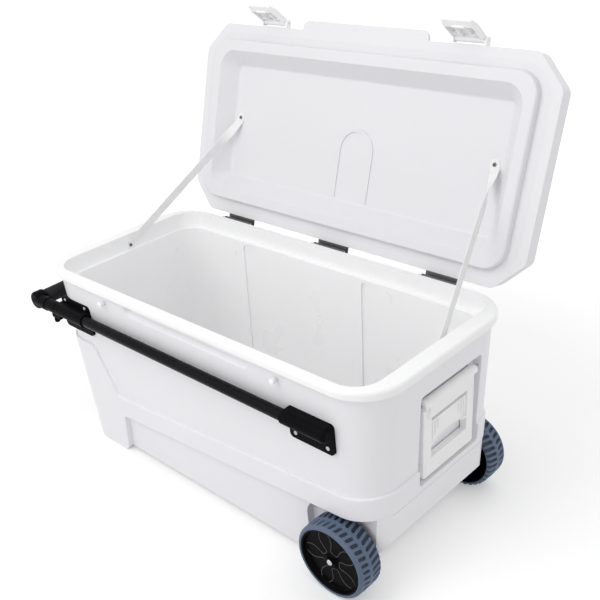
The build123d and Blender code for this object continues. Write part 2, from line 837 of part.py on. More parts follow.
def pipe_x(outer, wall, x_from, x_to, side):
    tube = cylinder_x(outer, side * tow_tube_y, tow_tube_z, x_from, x_to)
    return tube - cylinder_x(outer - wall, side * tow_tube_y, tow_tube_z, x_from, x_to)


def tow_tube(side):
    return pipe_x(tow_tube_radius, tow_tube_wall, fixed_tube_left, fixed_tube_right, side)


def tow_collar(side):
    """Bush in the mouth of the fixed tube."""
    bore = slide_tube_radius + slide_fit
    return pipe_x(fixed_bore, fixed_bore - bore, fixed_tube_left, collar_right, side)


def slide_tube(side):
    return pipe_x(slide_tube_radius, slide_tube_wall, slide_tube_left, ring_left + ring_length, side)


def slide_ring(side):
    """Ring on the sliding tube's inner end that meets the collar when the handle is fully out."""
    outer = fixed_bore - slide_fit
    return pipe_x(outer, outer - slide_tube_radius, ring_left, ring_left + ring_length, side)


def tow_corner(side):
    """Moulded elbow between a sliding tube and the crossbar."""
    y_out = -tow_tube_y - corner_overhang
    knuckle = cylinder_y(corner_radius, crossbar_x, tow_tube_z, y_out, -tow_tube_y + corner_radius - 2)
    knuckle = fillet(knuckle.edges().filter_by(GeomType.CIRCLE), 7)
    arm_end = guide_left_x - corner_gap
    arm = cylinder_x(corner_arm_radius, -tow_tube_y, tow_tube_z, crossbar_x, arm_end)
    collar_start = arm_end - corner_collar_back - corner_collar_length
    collar = cylinder_x(corner_arm_radius + 1.5, -tow_tube_y, tow_tube_z,
                        collar_start, arm_end - corner_collar_back)
    elbow = knuckle + arm + collar
    elbow = elbow - cylinder_x(slide_tube_radius, -tow_tube_y, tow_tube_z, slide_tube_left, 0)
    elbow = elbow - cylinder_y(slide_tube_radius, crossbar_x, tow_tube_z, -crossbar_reach, 0)
    if side < 0:
        elbow = elbow - cylinder_z(knob_pin_radius + 0.3, knob_x, -tow_tube_y, 0, tow_tube_z - slide_tube_radius)
    return elbow if side < 0 else mirrored_y(elbow)


def crossbar_tube():
    tube = cylinder_y(slide_tube_radius, crossbar_x, tow_tube_z, -crossbar_reach, crossbar_reach)
    return tube - cylinder_y(slide_tube_radius - slide_tube_wall, crossbar_x, tow_tube_z,
                             -crossbar_reach, crossbar_reach)


def tow_grip():
    """Soft sleeve, a little fuller in the middle."""
    half = grip_half
    fullness = 2.5
    outline = Plane.YZ.offset(crossbar_x) * make_face(
        Polyline((half, tow_tube_z), (half, tow_tube_z + crossbar_radius - fullness)).edges()
        + ThreePointArc((half, tow_tube_z + crossbar_radius - fullness), (0, tow_tube_z + crossbar_radius),
                        (-half, tow_tube_z + crossbar_radius - fullness)).edges()
        + Polyline((-half, tow_tube_z + crossbar_radius - fullness), (-half, tow_tube_z), (half, tow_tube_z)).edges())
    grip = revolve(outline, Axis((crossbar_x, 0, tow_tube_z), (0, 1, 0)), 360)
    return grip - cylinder_y(slide_tube_radius, crossbar_x, tow_tube_z, -half - 1, half + 1)


def release_knob():
    """Pull knob on a pin that enters the elbow when it is pushed home."""
    pin_top = ear_top - 0.3
    knob_top = ear_top - ear_height - knob_travel - 0.3
    knob = cylinder_z(knob_radius, knob_x, -tow_tube_y, knob_top - knob_length, knob_top)
    knob = fillet(knob.edges().group_by(Axis.Z)[0], 3)
    return knob + cylinder_z(knob_pin_radius, knob_x, -tow_tube_y, knob_top, pin_top)


bracket_screws_at = (
    (guide_left_x + bracket_screw_inset, guide_top - 6.5), (guide_right_x - bracket_screw_inset, guide_top - 6.5),
    (anchor_left_x + bracket_screw_inset, anchor_bottom + 12),
    (anchor_right_x - bracket_screw_inset, anchor_bottom + 12))
bracket_face_y = tub_wall_y(tow_tube_z) + bracket_plate


# ---------------------------------------------------------------- wheels
def tyre(side):
    """Ring with rounded shoulders and one groove round its middle."""
    inner = wheel_radius - tyre_thickness
    outer_y = wheel_outer_y
    inner_y = wheel_outer_y - wheel_width
    middle = (outer_y + inner_y) / 2
    section = Polygon(
        (inner, inner_y), (wheel_radius, inner_y), (wheel_radius, middle - 3), (wheel_radius - 2.5, middle - 2),
        (wheel_radius - 2.5, middle + 2), (wheel_radius, middle + 3), (wheel_radius, outer_y), (inner, outer_y),
        align=None)
    for corner in ((wheel_radius, inner_y, 0), (wheel_radius, outer_y, 0)):
        section = fillet(section.vertices().sort_by_distance(corner)[0], 7)
    for corner in ((inner, inner_y, 0), (inner, outer_y, 0)):
        section = fillet(section.vertices().sort_by_distance(corner)[0], 2.5)
    ring = revolve(section, Axis.Y, 360)
    ring = Pos(axle_x, 0, axle_z) * ring
    return ring if side > 0 else mirrored_y(ring)


def petal(start, end):
    """U-shaped ridge whose closed end is towards the boss."""
    def at(radius, degrees):
        angle = math.radians(degrees)
        return (radius * math.cos(angle), radius * math.sin(angle))

    middle = (start + end) / 2
    bend = start + 5
    left = ThreePointArc(at(end, petal_half_angle), at(middle, petal_half_angle - 6), at(bend, 22))
    close = ThreePointArc(at(bend, 22), at(start, 0), at(bend, -22))
    right = ThreePointArc(at(bend, -22), at(middle, 6 - petal_half_angle), at(end, -petal_half_angle))
    return trace(left + close + right, petal_ridge)


def hub(side):
    """Dished hub: barrel, web, boss and five petal ridges on the web's outside."""
    radius = wheel_radius - tyre_thickness
    outer_y = wheel_outer_y - 2.5
    inner_y = wheel_outer_y - wheel_width + 2.5
    face_y = outer_y - hub_recess
    boss = 13
    wall = 3.5
    bore = axle_radius + axle_running_fit
    section = Polygon(
        (bore, wheel_outer_y - wheel_width), (boss, wheel_outer_y - wheel_width), (boss + 2, face_y - 4),
        (radius - wall, face_y - 4), (radius - wall, inner_y), (radius, inner_y), (radius, outer_y),
        (radius - wall, outer_y), (radius - wall - 3, face_y), (boss + 3, face_y), (boss, outer_y - 2),
        (bore, outer_y - 2), align=None)
    wheel = revolve(section, Axis.Y, 360)
    for index in range(petal_count):
        ridge = Rot(0, 0, index * 360 / petal_count) * petal(boss + 4, radius - wall - 1)
        wheel = wheel + extrude(Plane.XZ.offset(0.5 - face_y) * ridge, amount=3, dir=(0, 1, 0))
    wheel = Pos(axle_x, 0, axle_z) * wheel
    return wheel if side > 0 else mirrored_y(wheel)


axle_half = wheel_outer_y - 1
hub_boss_outer = wheel_outer_y - 4.5
hub_boss_inner = wheel_outer_y - wheel_width


def axle():
    rod = cylinder_y(axle_radius, axle_x, axle_z, -axle_half, axle_half)
    return chamfer(rod.edges().filter_by(GeomType.CIRCLE), 1)


def axle_ring(radius, y_from, y_to):
    ring = cylinder_y(radius, axle_x, axle_z, y_from, y_to)
    return ring - cylinder_y(axle_radius, axle_x, axle_z, y_from, y_to)


def axle_spacers():
    one = axle_ring(10, well_y, hub_boss_inner - 0.3)
    return [one, mirrored_y(one)]


def axle_caps():
    one = axle_ring(10, hub_boss_outer + 0.3, axle_half - 1.2)
    return [one, mirrored_y(one)]


# ---------------------------------------------------------------- carrying handle
side_floor_x = tub_end_x(side_handle_axis_z) - side_recess_depth
side_axis_x = side_floor_x + side_barrel_radius + 1.5


def side_handle():
    """Moulded loop that hangs in the end pocket: barrel, ribbed plate, finger hole and grip bar."""
    back = side_floor_x + 2
    front = back + side_handle_thickness
    left = side_handle_y - side_handle_half
    right = side_handle_y + side_handle_half
    middle = (side_handle_axis_z + side_handle_bottom) / 2
    height = side_handle_axis_z - side_handle_bottom
    outline = Plane.YZ.offset(back) * Pos(side_handle_y, middle) * RectangleRounded(
        2 * side_handle_half, height, 6)
    body = extrude(outline, amount=side_handle_thickness)
    body = fillet(body.faces().sort_by(Axis.X)[-1].edges(), 3)
    barrel = cylinder_y(side_barrel_radius, side_axis_x, side_handle_axis_z, left, right)
    top_zone = side_profile([
        (back, side_handle_axis_z), (back, side_handle_axis_z - 32), (front + 1, side_handle_axis_z - 32),
        (side_axis_x + side_barrel_radius, side_handle_axis_z - 12),
        (side_axis_x + side_barrel_radius, side_handle_axis_z)])
    body = body + barrel + across(top_zone, left + 12, right - 12)
    inner_half = side_handle_half - side_handle_arm - 3
    slot = slab(back - 1, far, side_handle_y - inner_half, side_handle_y + inner_half,
                side_handle_axis_z - 44, side_handle_axis_z - 33)
    plate_top = side_handle_axis_z - 44
    plate_bottom = side_handle_axis_z - side_plate_drop
    plate_front = front - 3
    relief = slab(plate_front, far, side_handle_y - inner_half, side_handle_y + inner_half,
                  plate_bottom, plate_top)
    hole_bottom = side_handle_bottom + 38
    hole = Plane.YZ.offset(back - 1) * make_face(
        Polyline((side_handle_y + inner_half, plate_bottom - 6), (side_handle_y + inner_half, hole_bottom),
                 (side_handle_y - inner_half, hole_bottom), (side_handle_y - inner_half, plate_bottom - 6)).edges()
        + ThreePointArc((side_handle_y - inner_half, plate_bottom - 6), (side_handle_y, plate_bottom + 4),
                        (side_handle_y + inner_half, plate_bottom - 6)).edges())
    body = body - slot - relief - extrude(hole, amount=far, dir=(1, 0, 0))
    for index, length in enumerate((36, 28, 20)):
        for direction in (-1, 1):
            y = side_handle_y + direction * (inner_half - 7 - index * 8)
            body = body + slab(plate_front - 1, front - 0.6, y - 1.2, y + 1.2, plate_top - 4 - length, plate_top - 4)
    grip = Plane.XZ.offset(-right + 6) * Pos((back + front) / 2 + 0.5, side_handle_bottom + 18) * RectangleRounded(
        side_handle_thickness + 1, 36, 6.5)
    body = body + extrude(grip, amount=2 * side_handle_half - 12)
    bore = side_rod_radius + side_rod_fit
    return body - cylinder_y(bore, side_axis_x, side_handle_axis_z, left - 1, right + 1)


def side_handle_rod():
    half = side_recess_half + shell_wall
    return cylinder_y(side_rod_radius, side_axis_x, side_handle_axis_z, side_handle_y - half, side_handle_y + half)


# ---------------------------------------------------------------- drain
drain_seat_x = -tub_end_x(drain_z - drain_flange_radius) - band_growth - 2
drain_face_x = drain_seat_x - 4


def drain_hole():
    return cylinder_x(drain_radius, 0, drain_z, -body_length / 2 - 20, -opening_length / 2 + 40)


def drain_washer():
    ring = cylinder_x(drain_flange_radius - 1, 0, drain_z, drain_seat_x, -body_length / 2 + 40)
    return ring - cylinder_x(drain_radius, 0, drain_z, -far, 0) - outer_form


def drain_body():
    inner_end = -opening_length / 2 + step_width + drain_nut + 8
    body = cylinder_x(drain_radius, 0, drain_z, drain_face_x, inner_end)
    body = body + cylinder_x(drain_flange_radius, 0, drain_z, drain_face_x, drain_seat_x)
    return body - cylinder_x(drain_radius - 3, 0, drain_z, -far, 0)


def drain_nut_ring():
    inner_end = -opening_length / 2 + step_width + drain_nut + 6
    ring = extrude(Plane.YZ.offset(-body_length / 2) * Pos(0, drain_z) * RegularPolygon(17, 8),
                   amount=inner_end + body_length / 2)
    return (ring & liner_void(0)) - cylinder_x(drain_radius, 0, drain_z, -far, 0)


def drain_cap():
    face = drain_face_x - 0.2
    cap = cylinder_x(drain_cap_radius, 0, drain_z, face - 7, face)
    cap = fillet(cap.edges().group_by(Axis.X)[0], 2)
    cap = cap + cylinder_x(drain_radius - 3.1, 0, drain_z, face - 1, face + 16)
    wing = slab(face - 15, face - 4, -3, 3, drain_z - 10, drain_z + 10)
    return cap + fillet(wing.edges().group_by(Axis.X)[0], 1.5)


# ---------------------------------------------------------------- holes for what passes through
def tub_bores():
    bores = [cylinder_y(axle_radius, axle_x, axle_z, -far, far), side_handle_rod(), drain_hole()]
    for side in (-1, 1):
        for x, z in bracket_screws_at:
            bores.append(shank_y(x, z, side * bracket_face_y, side))
        bores.append(stay_screw_tub(side))
    for x, z in tub_hinge_screws:
        bores.append(shank_y(x, z, rim_depth / 2 + hinge_leaf, 1))
    return bores


def lid_bores():
    bores = [shank_y(x, z, rim_depth / 2 + hinge_leaf, 1) for x, z in lid_hinge_screws]
    closed_screw = Plane(origin=(0, stay_lid_y, pan_top), z_dir=(0, 0, -1))
    for side in (-1, 1):
        bores.append(extrude(Pos(side * stay_lid_x, 0, 0) * closed_screw * Circle(screw_shank_radius),
                             amount=-screw_length + stay_thickness))
    return bores


def without(piece, tools):
    for tool in tools:
        piece = piece - tool
    return piece


def group(pieces):
    """One node holding several separate solids."""
    return Compound([solid for piece in pieces for solid in piece.solids()])


bores = tub_bores()
closed_bores = lid_bores()
both = (-1, 1)
hinge_shanks_tub = [shank_y(x, z, rim_depth / 2 + hinge_leaf, 1) for x, z in tub_hinge_screws]
hinge_shanks_lid = [shank_y(x, z, rim_depth / 2 + hinge_leaf, 1) for x, z in lid_hinge_screws]


def bracket_shanks(side):
    return [shank_y(x, z, side * bracket_face_y, side) for x, z in bracket_screws_at]


nodes = {
    "tub_shell": without(tub_shell(), bores),
    "tub_liner": without(tub_liner(), bores),
    "tub_foam": without(tub_foam(), bores),
    "latch_keepers": group(latch_keepers()),
    "hinge_leaves_tub": group([without(piece, hinge_shanks_tub) for piece in at_hinges(hinge_tub_leaf())]),
    "hinge_pins": group(at_hinges(hinge_pin())),
    "hinge_screws_tub": group([screw_y(x, z, rim_depth / 2 + hinge_leaf, 1) for x, z in tub_hinge_screws]),
    "tow_guide_front": without(guide_bracket(-1), bracket_shanks(-1)),
    "tow_guide_rear": without(guide_bracket(1), bracket_shanks(1)),
    "tow_anchor_front": without(anchor_bracket(-1), bracket_shanks(-1)),
    "tow_anchor_rear": without(anchor_bracket(1), bracket_shanks(1)),
    "tow_tube_front": tow_tube(-1),
    "tow_tube_rear": tow_tube(1),
    "tow_collars": group([tow_collar(side) for side in both]),
    "bracket_screws": group([screw_y(x, z, side * bracket_face_y, side)
                             for side in both for x, z in bracket_screws_at]),
    "axle": axle(),
    "axle_spacers": group(axle_spacers()),
    "axle_caps": group(axle_caps()),
    "side_handle_rod": side_handle_rod(),
    "side_handle": side_handle(),
    "drain_body": drain_body(),
    "drain_washer": drain_washer(),
    "drain_nut": drain_nut_ring(),
    "drain_cap": drain_cap(),
    "stay_screws_tub": group([stay_screw_tub(side) for side in both]),
    "stay_screws_lid": group([stay_screw_lid(side) for side in both]),
    "lid_stay_left": lid_stay(-1),
    "lid_stay_right": lid_stay(1),
    "lid_shell": opened(without(lid_shell(), closed_bores)),
    "lid_liner": opened(without(lid_liner(), closed_bores)),
    "lid_foam": opened(without(lid_foam(), closed_bores)),
    "hinge_leaves_lid": group([opened(without(piece, hinge_shanks_lid)) for piece in at_hinges(hinge_lid_leaf())]),
    "hinge_screws_lid": group([opened(screw_y(x, z, rim_depth / 2 + hinge_leaf, 1)) for x, z in lid_hinge_screws]),
    "latch_mounts": group([opened(Pos(x, 0, 0) * latch_mount()) for x in latch_positions]),
    "latch_pins": group([opened(Pos(x, 0, 0) * latch_pin()) for x in latch_positions]),
    "latch_left": latch(latch_positions[0]),
    "latch_right": latch(latch_positions[1]),
    "slide_tube_front": slide_tube(-1),
    "slide_tube_rear": slide_tube(1),
    "slide_rings": group([slide_ring(side) for side in both]),
    "tow_corner_front": tow_corner(-1),
    "tow_corner_rear": tow_corner(1),
    "crossbar_tube": crossbar_tube(),
    "tow_grip": tow_grip(),
    "release_knob": release_knob(),
    "tyre_front": tyre(-1),
    "tyre_rear": tyre(1),
    "hub_front": hub(-1),
    "hub_rear": hub(1),
}

# ---------------------------------------------------------------- place and write
whole = Compound(list(nodes.values())).bounding_box()
shift = Vector(-(whole.min.X + whole.max.X) / 2, -(whole.min.Y + whole.max.Y) / 2, -whole.min.Z)
os.makedirs("parts", exist_ok=True)
for name, shape in nodes.items():
    export_step(shape.moved(Location(shift)), f"parts/{name}.step")
print("origin moved by", [round(value, 3) for value in (shift.X, shift.Y, shift.Z)])
print("size", [round(value, 1) for value in (whole.size.X, whole.size.Y, whole.size.Z)])
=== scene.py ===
import bpy
import json
import math
import numpy as np
from mathutils import Matrix, Vector


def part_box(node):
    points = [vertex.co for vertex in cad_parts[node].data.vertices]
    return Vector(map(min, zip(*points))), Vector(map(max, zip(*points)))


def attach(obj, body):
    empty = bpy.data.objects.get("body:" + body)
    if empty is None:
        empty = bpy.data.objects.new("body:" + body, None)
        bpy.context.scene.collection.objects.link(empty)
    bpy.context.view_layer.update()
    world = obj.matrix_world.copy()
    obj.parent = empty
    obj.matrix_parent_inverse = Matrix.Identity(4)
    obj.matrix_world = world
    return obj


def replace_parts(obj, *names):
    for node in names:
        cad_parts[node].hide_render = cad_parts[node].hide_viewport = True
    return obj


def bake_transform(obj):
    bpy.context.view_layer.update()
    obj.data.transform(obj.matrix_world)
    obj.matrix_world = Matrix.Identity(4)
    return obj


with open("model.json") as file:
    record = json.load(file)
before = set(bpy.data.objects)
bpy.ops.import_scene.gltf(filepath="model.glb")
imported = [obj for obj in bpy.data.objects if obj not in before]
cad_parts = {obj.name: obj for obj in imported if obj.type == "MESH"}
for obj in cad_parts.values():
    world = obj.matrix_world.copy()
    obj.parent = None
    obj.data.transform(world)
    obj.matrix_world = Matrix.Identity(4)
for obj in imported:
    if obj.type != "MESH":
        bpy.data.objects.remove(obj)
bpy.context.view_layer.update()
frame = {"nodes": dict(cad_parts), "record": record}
nodes = frame["nodes"]
linerLow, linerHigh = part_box("tub_liner")
tubMiddle = Vector(((linerLow.x + linerHigh.x) / 2, (linerLow.y + linerHigh.y) / 2, 0))
print("stage: frame loaded with", len(nodes), "nodes")

cameraView = {"azimuth": 46.09, "elevation": 31.39, "roll": -5.11, "offset": (1.1486, -1.0398, 1.1673),
              "lens": 51.29, "shiftX": 0.02, "shiftY": 0.12}


def aimCamera(settings):
    az, el, roll = (math.radians(settings[key]) for key in ("azimuth", "elevation", "roll"))
    back = Vector((math.sin(az) * math.cos(el), -math.cos(az) * math.cos(el), math.sin(el)))
    level = Vector((math.cos(az), math.sin(az), 0))
    upright = back.cross(level)
    right = math.cos(roll) * level + math.sin(roll) * upright
    up = math.cos(roll) * upright - math.sin(roll) * level
    data = bpy.data.cameras.new("studioCamera")
    data.sensor_width = 36
    data.lens = settings["lens"]
    data.shift_x = settings["shiftX"]
    data.shift_y = settings["shiftY"]
    data.clip_end = 60
    camera = bpy.data.objects.new("studioCamera", data)
    turn = Matrix((right, up, back)).transposed().to_4x4()
    camera.matrix_world = Matrix.Translation(tubMiddle + Vector(settings["offset"])) @ turn
    bpy.context.scene.collection.objects.link(camera)
    bpy.context.scene.camera = camera


aimCamera(cameraView)
bpy.context.scene.view_settings.view_transform = "Standard"


def addNode(tree, kind, **settings):
    # a node with its settings; a key that names an input socket sets that socket's value
    node = tree.nodes.new(kind)
    for key, value in settings.items():
        if hasattr(node, key):
            setattr(node, key, value)
        else:
            node.inputs[key.replace("_", " ")].default_value = value
    return node


def openGroup(name, inputs, outputs):
    # a shader node group with named sockets: inputs are (name, kind, default), outputs (name, kind)
    kinds = {"value": "NodeSocketFloat", "colour": "NodeSocketColor", "vector": "NodeSocketVector"}
    tree = bpy.data.node_groups.new(name, "ShaderNodeTree")
    for label, kind, default in inputs:
        socket = tree.interface.new_socket(name=label, in_out="INPUT", socket_type=kinds[kind])
        if default is not None:
            socket.default_value = default
    for label, kind in outputs:
        tree.interface.new_socket(name=label, in_out="OUTPUT", socket_type=kinds[kind])
    return tree, tree.nodes.new("NodeGroupInput"), tree.nodes.new("NodeGroupOutput")


def whiteForCamera(tree, lit, white, output):
    # the camera and mirror-like rays see the white shader, everything else sees the lit one
    path = addNode(tree, "ShaderNodeLightPath")
    seen = addNode(tree, "ShaderNodeMath", operation="MAXIMUM")
    also = addNode(tree, "ShaderNodeMath", operation="MAXIMUM")
    mix = addNode(tree, "ShaderNodeMixShader")
    tree.links.new(path.outputs["Is Camera Ray"], seen.inputs[0])
    tree.links.new(path.outputs["Is Glossy Ray"], seen.inputs[1])
    tree.links.new(seen.outputs[0], also.inputs[0])
    tree.links.new(path.outputs["Is Transmission Ray"], also.inputs[1])
    tree.links.new(also.outputs[0], mix.inputs["Fac"])
    tree.links.new(lit.outputs[0], mix.inputs[1])
    tree.links.new(white.outputs[0], mix.inputs[2])
    tree.links.new(mix.outputs[0], output.inputs["Surface"])


studio = {"ambient": 0.70, "floorColour": (0.80, 0.80, 0.80), "floorHalf": 14,
          # near and far glow for the floor: the lower near value paints shade on the floor round the object
          "floorLift": (0.29, 0.55), "liftFrom": (0.75, 2.2),
          "key": {"at": (-1.3, -2.6, 3.0), "size": 2.6, "power": 26},
          "front": {"at": (-0.4, -3.4, 0.9), "size": 2.4, "power": 9},
          "right": {"at": (3.4, -0.3, 1.6), "size": 2.4, "power": 5},
          "back": {"at": (0.3, 2.6, 2.6), "size": 2.4, "power": 16},
          "inner": {"at": (0.1, -0.8, 1.45), "size": 0.7, "power": 3}}


def buildWorld(settings):
    world = bpy.data.worlds.new("studioWorld")
    world.use_nodes = True
    bpy.context.scene.world = world
    tree = world.node_tree
    tree.nodes.clear()
    output = addNode(tree, "ShaderNodeOutputWorld")
    lit = addNode(tree, "ShaderNodeBackground", Color=(1, 1, 1, 1), Strength=settings["ambient"])
    white = addNode(tree, "ShaderNodeBackground", Color=(1, 1, 1, 1), Strength=1.0)
    whiteForCamera(tree, lit, white, output)


def buildFloor(settings):
    # a flat grid wide enough for every view, lifted towards white for the camera but keeping its shadow; the
    # lift is weaker near the object, which paints shade on the floor round it
    half = settings["floorHalf"]
    mesh = bpy.data.meshes.new("studioFloor")
    corners = [(-half, -half, 0), (half, -half, 0), (half, half, 0), (-half, half, 0)]
    mesh.from_pydata(corners, [], [(0, 1, 2, 3)])
    floor = bpy.data.objects.new("studioFloor", mesh)
    bpy.context.scene.collection.objects.link(floor)
    material = bpy.data.materials.new("paleFloor")
    material.use_nodes = True
    tree = material.node_tree
    tree.nodes.clear()
    output = addNode(tree, "ShaderNodeOutputMaterial")
    lit = addNode(tree, "ShaderNodeBsdfDiffuse", Color=(*settings["floorColour"], 1))
    glow = addNode(tree, "ShaderNodeEmission", Color=(1, 1, 1, 1))
    place = addNode(tree, "ShaderNodeTexCoord")
    far = addNode(tree, "ShaderNodeVectorMath", operation="LENGTH")
    # glow strength rises with distance from the middle: painted shade on the floor near the object
    nearShadeRamp = addNode(tree, "ShaderNodeMapRange")
    limits = settings["liftFrom"] + settings["floorLift"]
    for socket, value in zip(("From Min", "From Max", "To Min", "To Max"), limits):
        nearShadeRamp.inputs[socket].default_value = value
    tree.links.new(place.outputs["Object"], far.inputs[0])
    tree.links.new(far.outputs["Value"], nearShadeRamp.inputs["Value"])
    tree.links.new(nearShadeRamp.outputs["Result"], glow.inputs["Strength"])
    both = addNode(tree, "ShaderNodeAddShader")
    tree.links.new(lit.outputs[0], both.inputs[0])
    tree.links.new(glow.outputs[0], both.inputs[1])
    whiteForCamera(tree, lit, both, output)
    mesh.materials.append(material)


def addPanel(name, settings):
    data = bpy.data.lights.new(name, "AREA")
    data.size = settings["size"]
    data.energy = settings["power"]
    panel = bpy.data.objects.new(name, data)
    place = Vector(settings["at"])
    aim = (Vector((0, -0.1, 0.3)) - place).to_track_quat("-Z", "Y")
    panel.matrix_world = Matrix.Translation(place) @ aim.to_matrix().to_4x4()
    bpy.context.scene.collection.objects.link(panel)


buildWorld(studio)
buildFloor(studio)
for lamp in ("key", "front", "right", "back", "inner"):
    addPanel(lamp + "Panel", studio[lamp])
print("stage: camera, floor and lights")


def makeMouldGrain():
    # fine moulded texture: height = two noises added, roughness drifts slowly between two values
    tree, inside, outside = openGroup("mouldGrain", [
        ("Grain Scale", "value", 900.0), ("Coarse Share", "value", 0.3), ("Roughness Low", "value", 0.35),
        ("Roughness High", "value", 0.5), ("Patch Scale", "value", 6.0)],
        [("Height", "value"), ("Roughness", "value")])
    place = addNode(tree, "ShaderNodeTexCoord")
    fine = addNode(tree, "ShaderNodeTexNoise", Detail=3.0, Roughness=0.6)
    slower = addNode(tree, "ShaderNodeMath", operation="MULTIPLY")
    slower.inputs[1].default_value = 0.22
    coarse = addNode(tree, "ShaderNodeTexNoise", Detail=2.0, Roughness=0.5)
    blend = addNode(tree, "ShaderNodeMix", data_type="FLOAT")
    patch = addNode(tree, "ShaderNodeTexNoise", Detail=4.0, Roughness=0.55)
    spread = addNode(tree, "ShaderNodeMapRange")
    spread.inputs["From Min"].default_value = 0.3
    spread.inputs["From Max"].default_value = 0.7
    for texture in (fine, coarse, patch):
        tree.links.new(place.outputs["Object"], texture.inputs["Vector"])
    tree.links.new(inside.outputs["Grain Scale"], fine.inputs["Scale"])
    tree.links.new(inside.outputs["Grain Scale"], slower.inputs[0])
    tree.links.new(slower.outputs[0], coarse.inputs["Scale"])
    tree.links.new(inside.outputs["Coarse Share"], blend.inputs[0])
    tree.links.new(fine.outputs["Fac"], blend.inputs[2])
    tree.links.new(coarse.outputs["Fac"], blend.inputs[3])
    tree.links.new(blend.outputs[0], outside.inputs["Height"])
    tree.links.new(inside.outputs["Patch Scale"], patch.inputs["Scale"])
    tree.links.new(patch.outputs["Fac"], spread.inputs["Value"])
    tree.links.new(inside.outputs["Roughness Low"], spread.inputs["To Min"])
    tree.links.new(inside.outputs["Roughness High"], spread.inputs["To Max"])
    tree.links.new(spread.outputs["Result"], outside.inputs["Roughness"])
    return tree


def makeTintDrift():
    # slow cloudy drift between two close colours, as moulded plastic and rubber have
    tree, inside, outside = openGroup("tintDrift", [
        ("Colour", "colour", (0.8, 0.8, 0.8, 1)), ("Second Colour", "colour", (0.75, 0.75, 0.75, 1)),
        ("Drift Scale", "value", 4.0), ("Amount", "value", 0.6)], [("Colour", "colour"), ("Mask", "value")])
    place = addNode(tree, "ShaderNodeTexCoord")
    cloud = addNode(tree, "ShaderNodeTexNoise", Detail=5.0, Roughness=0.6)
    sharpen = addNode(tree, "ShaderNodeMapRange")
    sharpen.inputs["From Min"].default_value = 0.35
    sharpen.inputs["From Max"].default_value = 0.65
    weigh = addNode(tree, "ShaderNodeMath", operation="MULTIPLY")
    mix = addNode(tree, "ShaderNodeMix", data_type="RGBA")
    tree.links.new(place.outputs["Object"], cloud.inputs["Vector"])
    tree.links.new(inside.outputs["Drift Scale"], cloud.inputs["Scale"])
    tree.links.new(cloud.outputs["Fac"], sharpen.inputs["Value"])
    tree.links.new(sharpen.outputs["Result"], weigh.inputs[0])
    tree.links.new(inside.outputs["Amount"], weigh.inputs[1])
    tree.links.new(weigh.outputs[0], mix.inputs["Factor"])
    tree.links.new(inside.outputs["Colour"], mix.inputs["A"])
    tree.links.new(inside.outputs["Second Colour"], mix.inputs["B"])
    tree.links.new(mix.outputs["Result"], outside.inputs["Colour"])
    tree.links.new(weigh.outputs[0], outside.inputs["Mask"])
    return tree


def makeRubMarks():
    # sparse fine rub lines: noise stretched hard along one direction, kept only at its peaks
    tree, inside, outside = openGroup("rubMarks", [
        ("Scale", "value", 18.0), ("Turn", "vector", (0.3, 0.2, 0.5)), ("Keep Above", "value", 0.66)],
        [("Mask", "value")])
    place = addNode(tree, "ShaderNodeTexCoord")
    turn = addNode(tree, "ShaderNodeMapping")
    turn.inputs["Scale"].default_value = (1, 9, 30)
    lines = addNode(tree, "ShaderNodeTexNoise", Detail=3.0, Roughness=0.7)
    where = addNode(tree, "ShaderNodeTexNoise", Scale=3.2, Detail=2.0)
    keep = addNode(tree, "ShaderNodeMapRange")
    edge = addNode(tree, "ShaderNodeMath", operation="ADD")
    edge.inputs[1].default_value = 0.05
    zone = addNode(tree, "ShaderNodeMapRange")
    zone.inputs["From Min"].default_value = 0.5
    zone.inputs["From Max"].default_value = 0.62
    both = addNode(tree, "ShaderNodeMath", operation="MULTIPLY")
    tree.links.new(place.outputs["Object"], turn.inputs["Vector"])
    tree.links.new(inside.outputs["Turn"], turn.inputs["Rotation"])
    tree.links.new(turn.outputs["Vector"], lines.inputs["Vector"])
    tree.links.new(place.outputs["Object"], where.inputs["Vector"])
    tree.links.new(inside.outputs["Scale"], lines.inputs["Scale"])
    tree.links.new(lines.outputs["Fac"], keep.inputs["Value"])
    tree.links.new(inside.outputs["Keep Above"], keep.inputs["From Min"])
    tree.links.new(inside.outputs["Keep Above"], edge.inputs[0])
    tree.links.new(edge.outputs[0], keep.inputs["From Max"])
    tree.links.new(where.outputs["Fac"], zone.inputs["Value"])
    tree.links.new(keep.outputs["Result"], both.inputs[0])
    tree.links.new(zone.outputs["Result"], both.inputs[1])
    tree.links.new(both.outputs[0], outside.inputs["Mask"])
    return tree


def makeSettledDust():
    # thin film that collects on faces that look up, broken by noise
    tree, inside, outside = openGroup("settledDust", [
        ("Amount", "value", 0.2), ("Break Up Scale", "value", 30.0)], [("Mask", "value")])
    surface = addNode(tree, "ShaderNodeNewGeometry")
    split = addNode(tree, "ShaderNodeSeparateXYZ")
    up = addNode(tree, "ShaderNodeMapRange")
    up.inputs["From Min"].default_value = 0.2
    up.inputs["From Max"].default_value = 0.95
    place = addNode(tree, "ShaderNodeTexCoord")
    spots = addNode(tree, "ShaderNodeTexNoise", Detail=5.0, Roughness=0.65)
    spread = addNode(tree, "ShaderNodeMapRange")
    spread.inputs["From Min"].default_value = 0.35
    spread.inputs["From Max"].default_value = 0.7
    first = addNode(tree, "ShaderNodeMath", operation="MULTIPLY")
    second = addNode(tree, "ShaderNodeMath", operation="MULTIPLY")
    tree.links.new(surface.outputs["Normal"], split.inputs["Vector"])
    tree.links.new(split.outputs["Z"], up.inputs["Value"])
    tree.links.new(place.outputs["Object"], spots.inputs["Vector"])
    tree.links.new(inside.outputs["Break Up Scale"], spots.inputs["Scale"])
    tree.links.new(spots.outputs["Fac"], spread.inputs["Value"])
    tree.links.new(up.outputs["Result"], first.inputs[0])
    tree.links.new(spread.outputs["Result"], first.inputs[1])
    tree.links.new(first.outputs[0], second.inputs[0])
    tree.links.new(inside.outputs["Amount"], second.inputs[1])
    tree.links.new(second.outputs[0], outside.inputs["Mask"])
    return tree


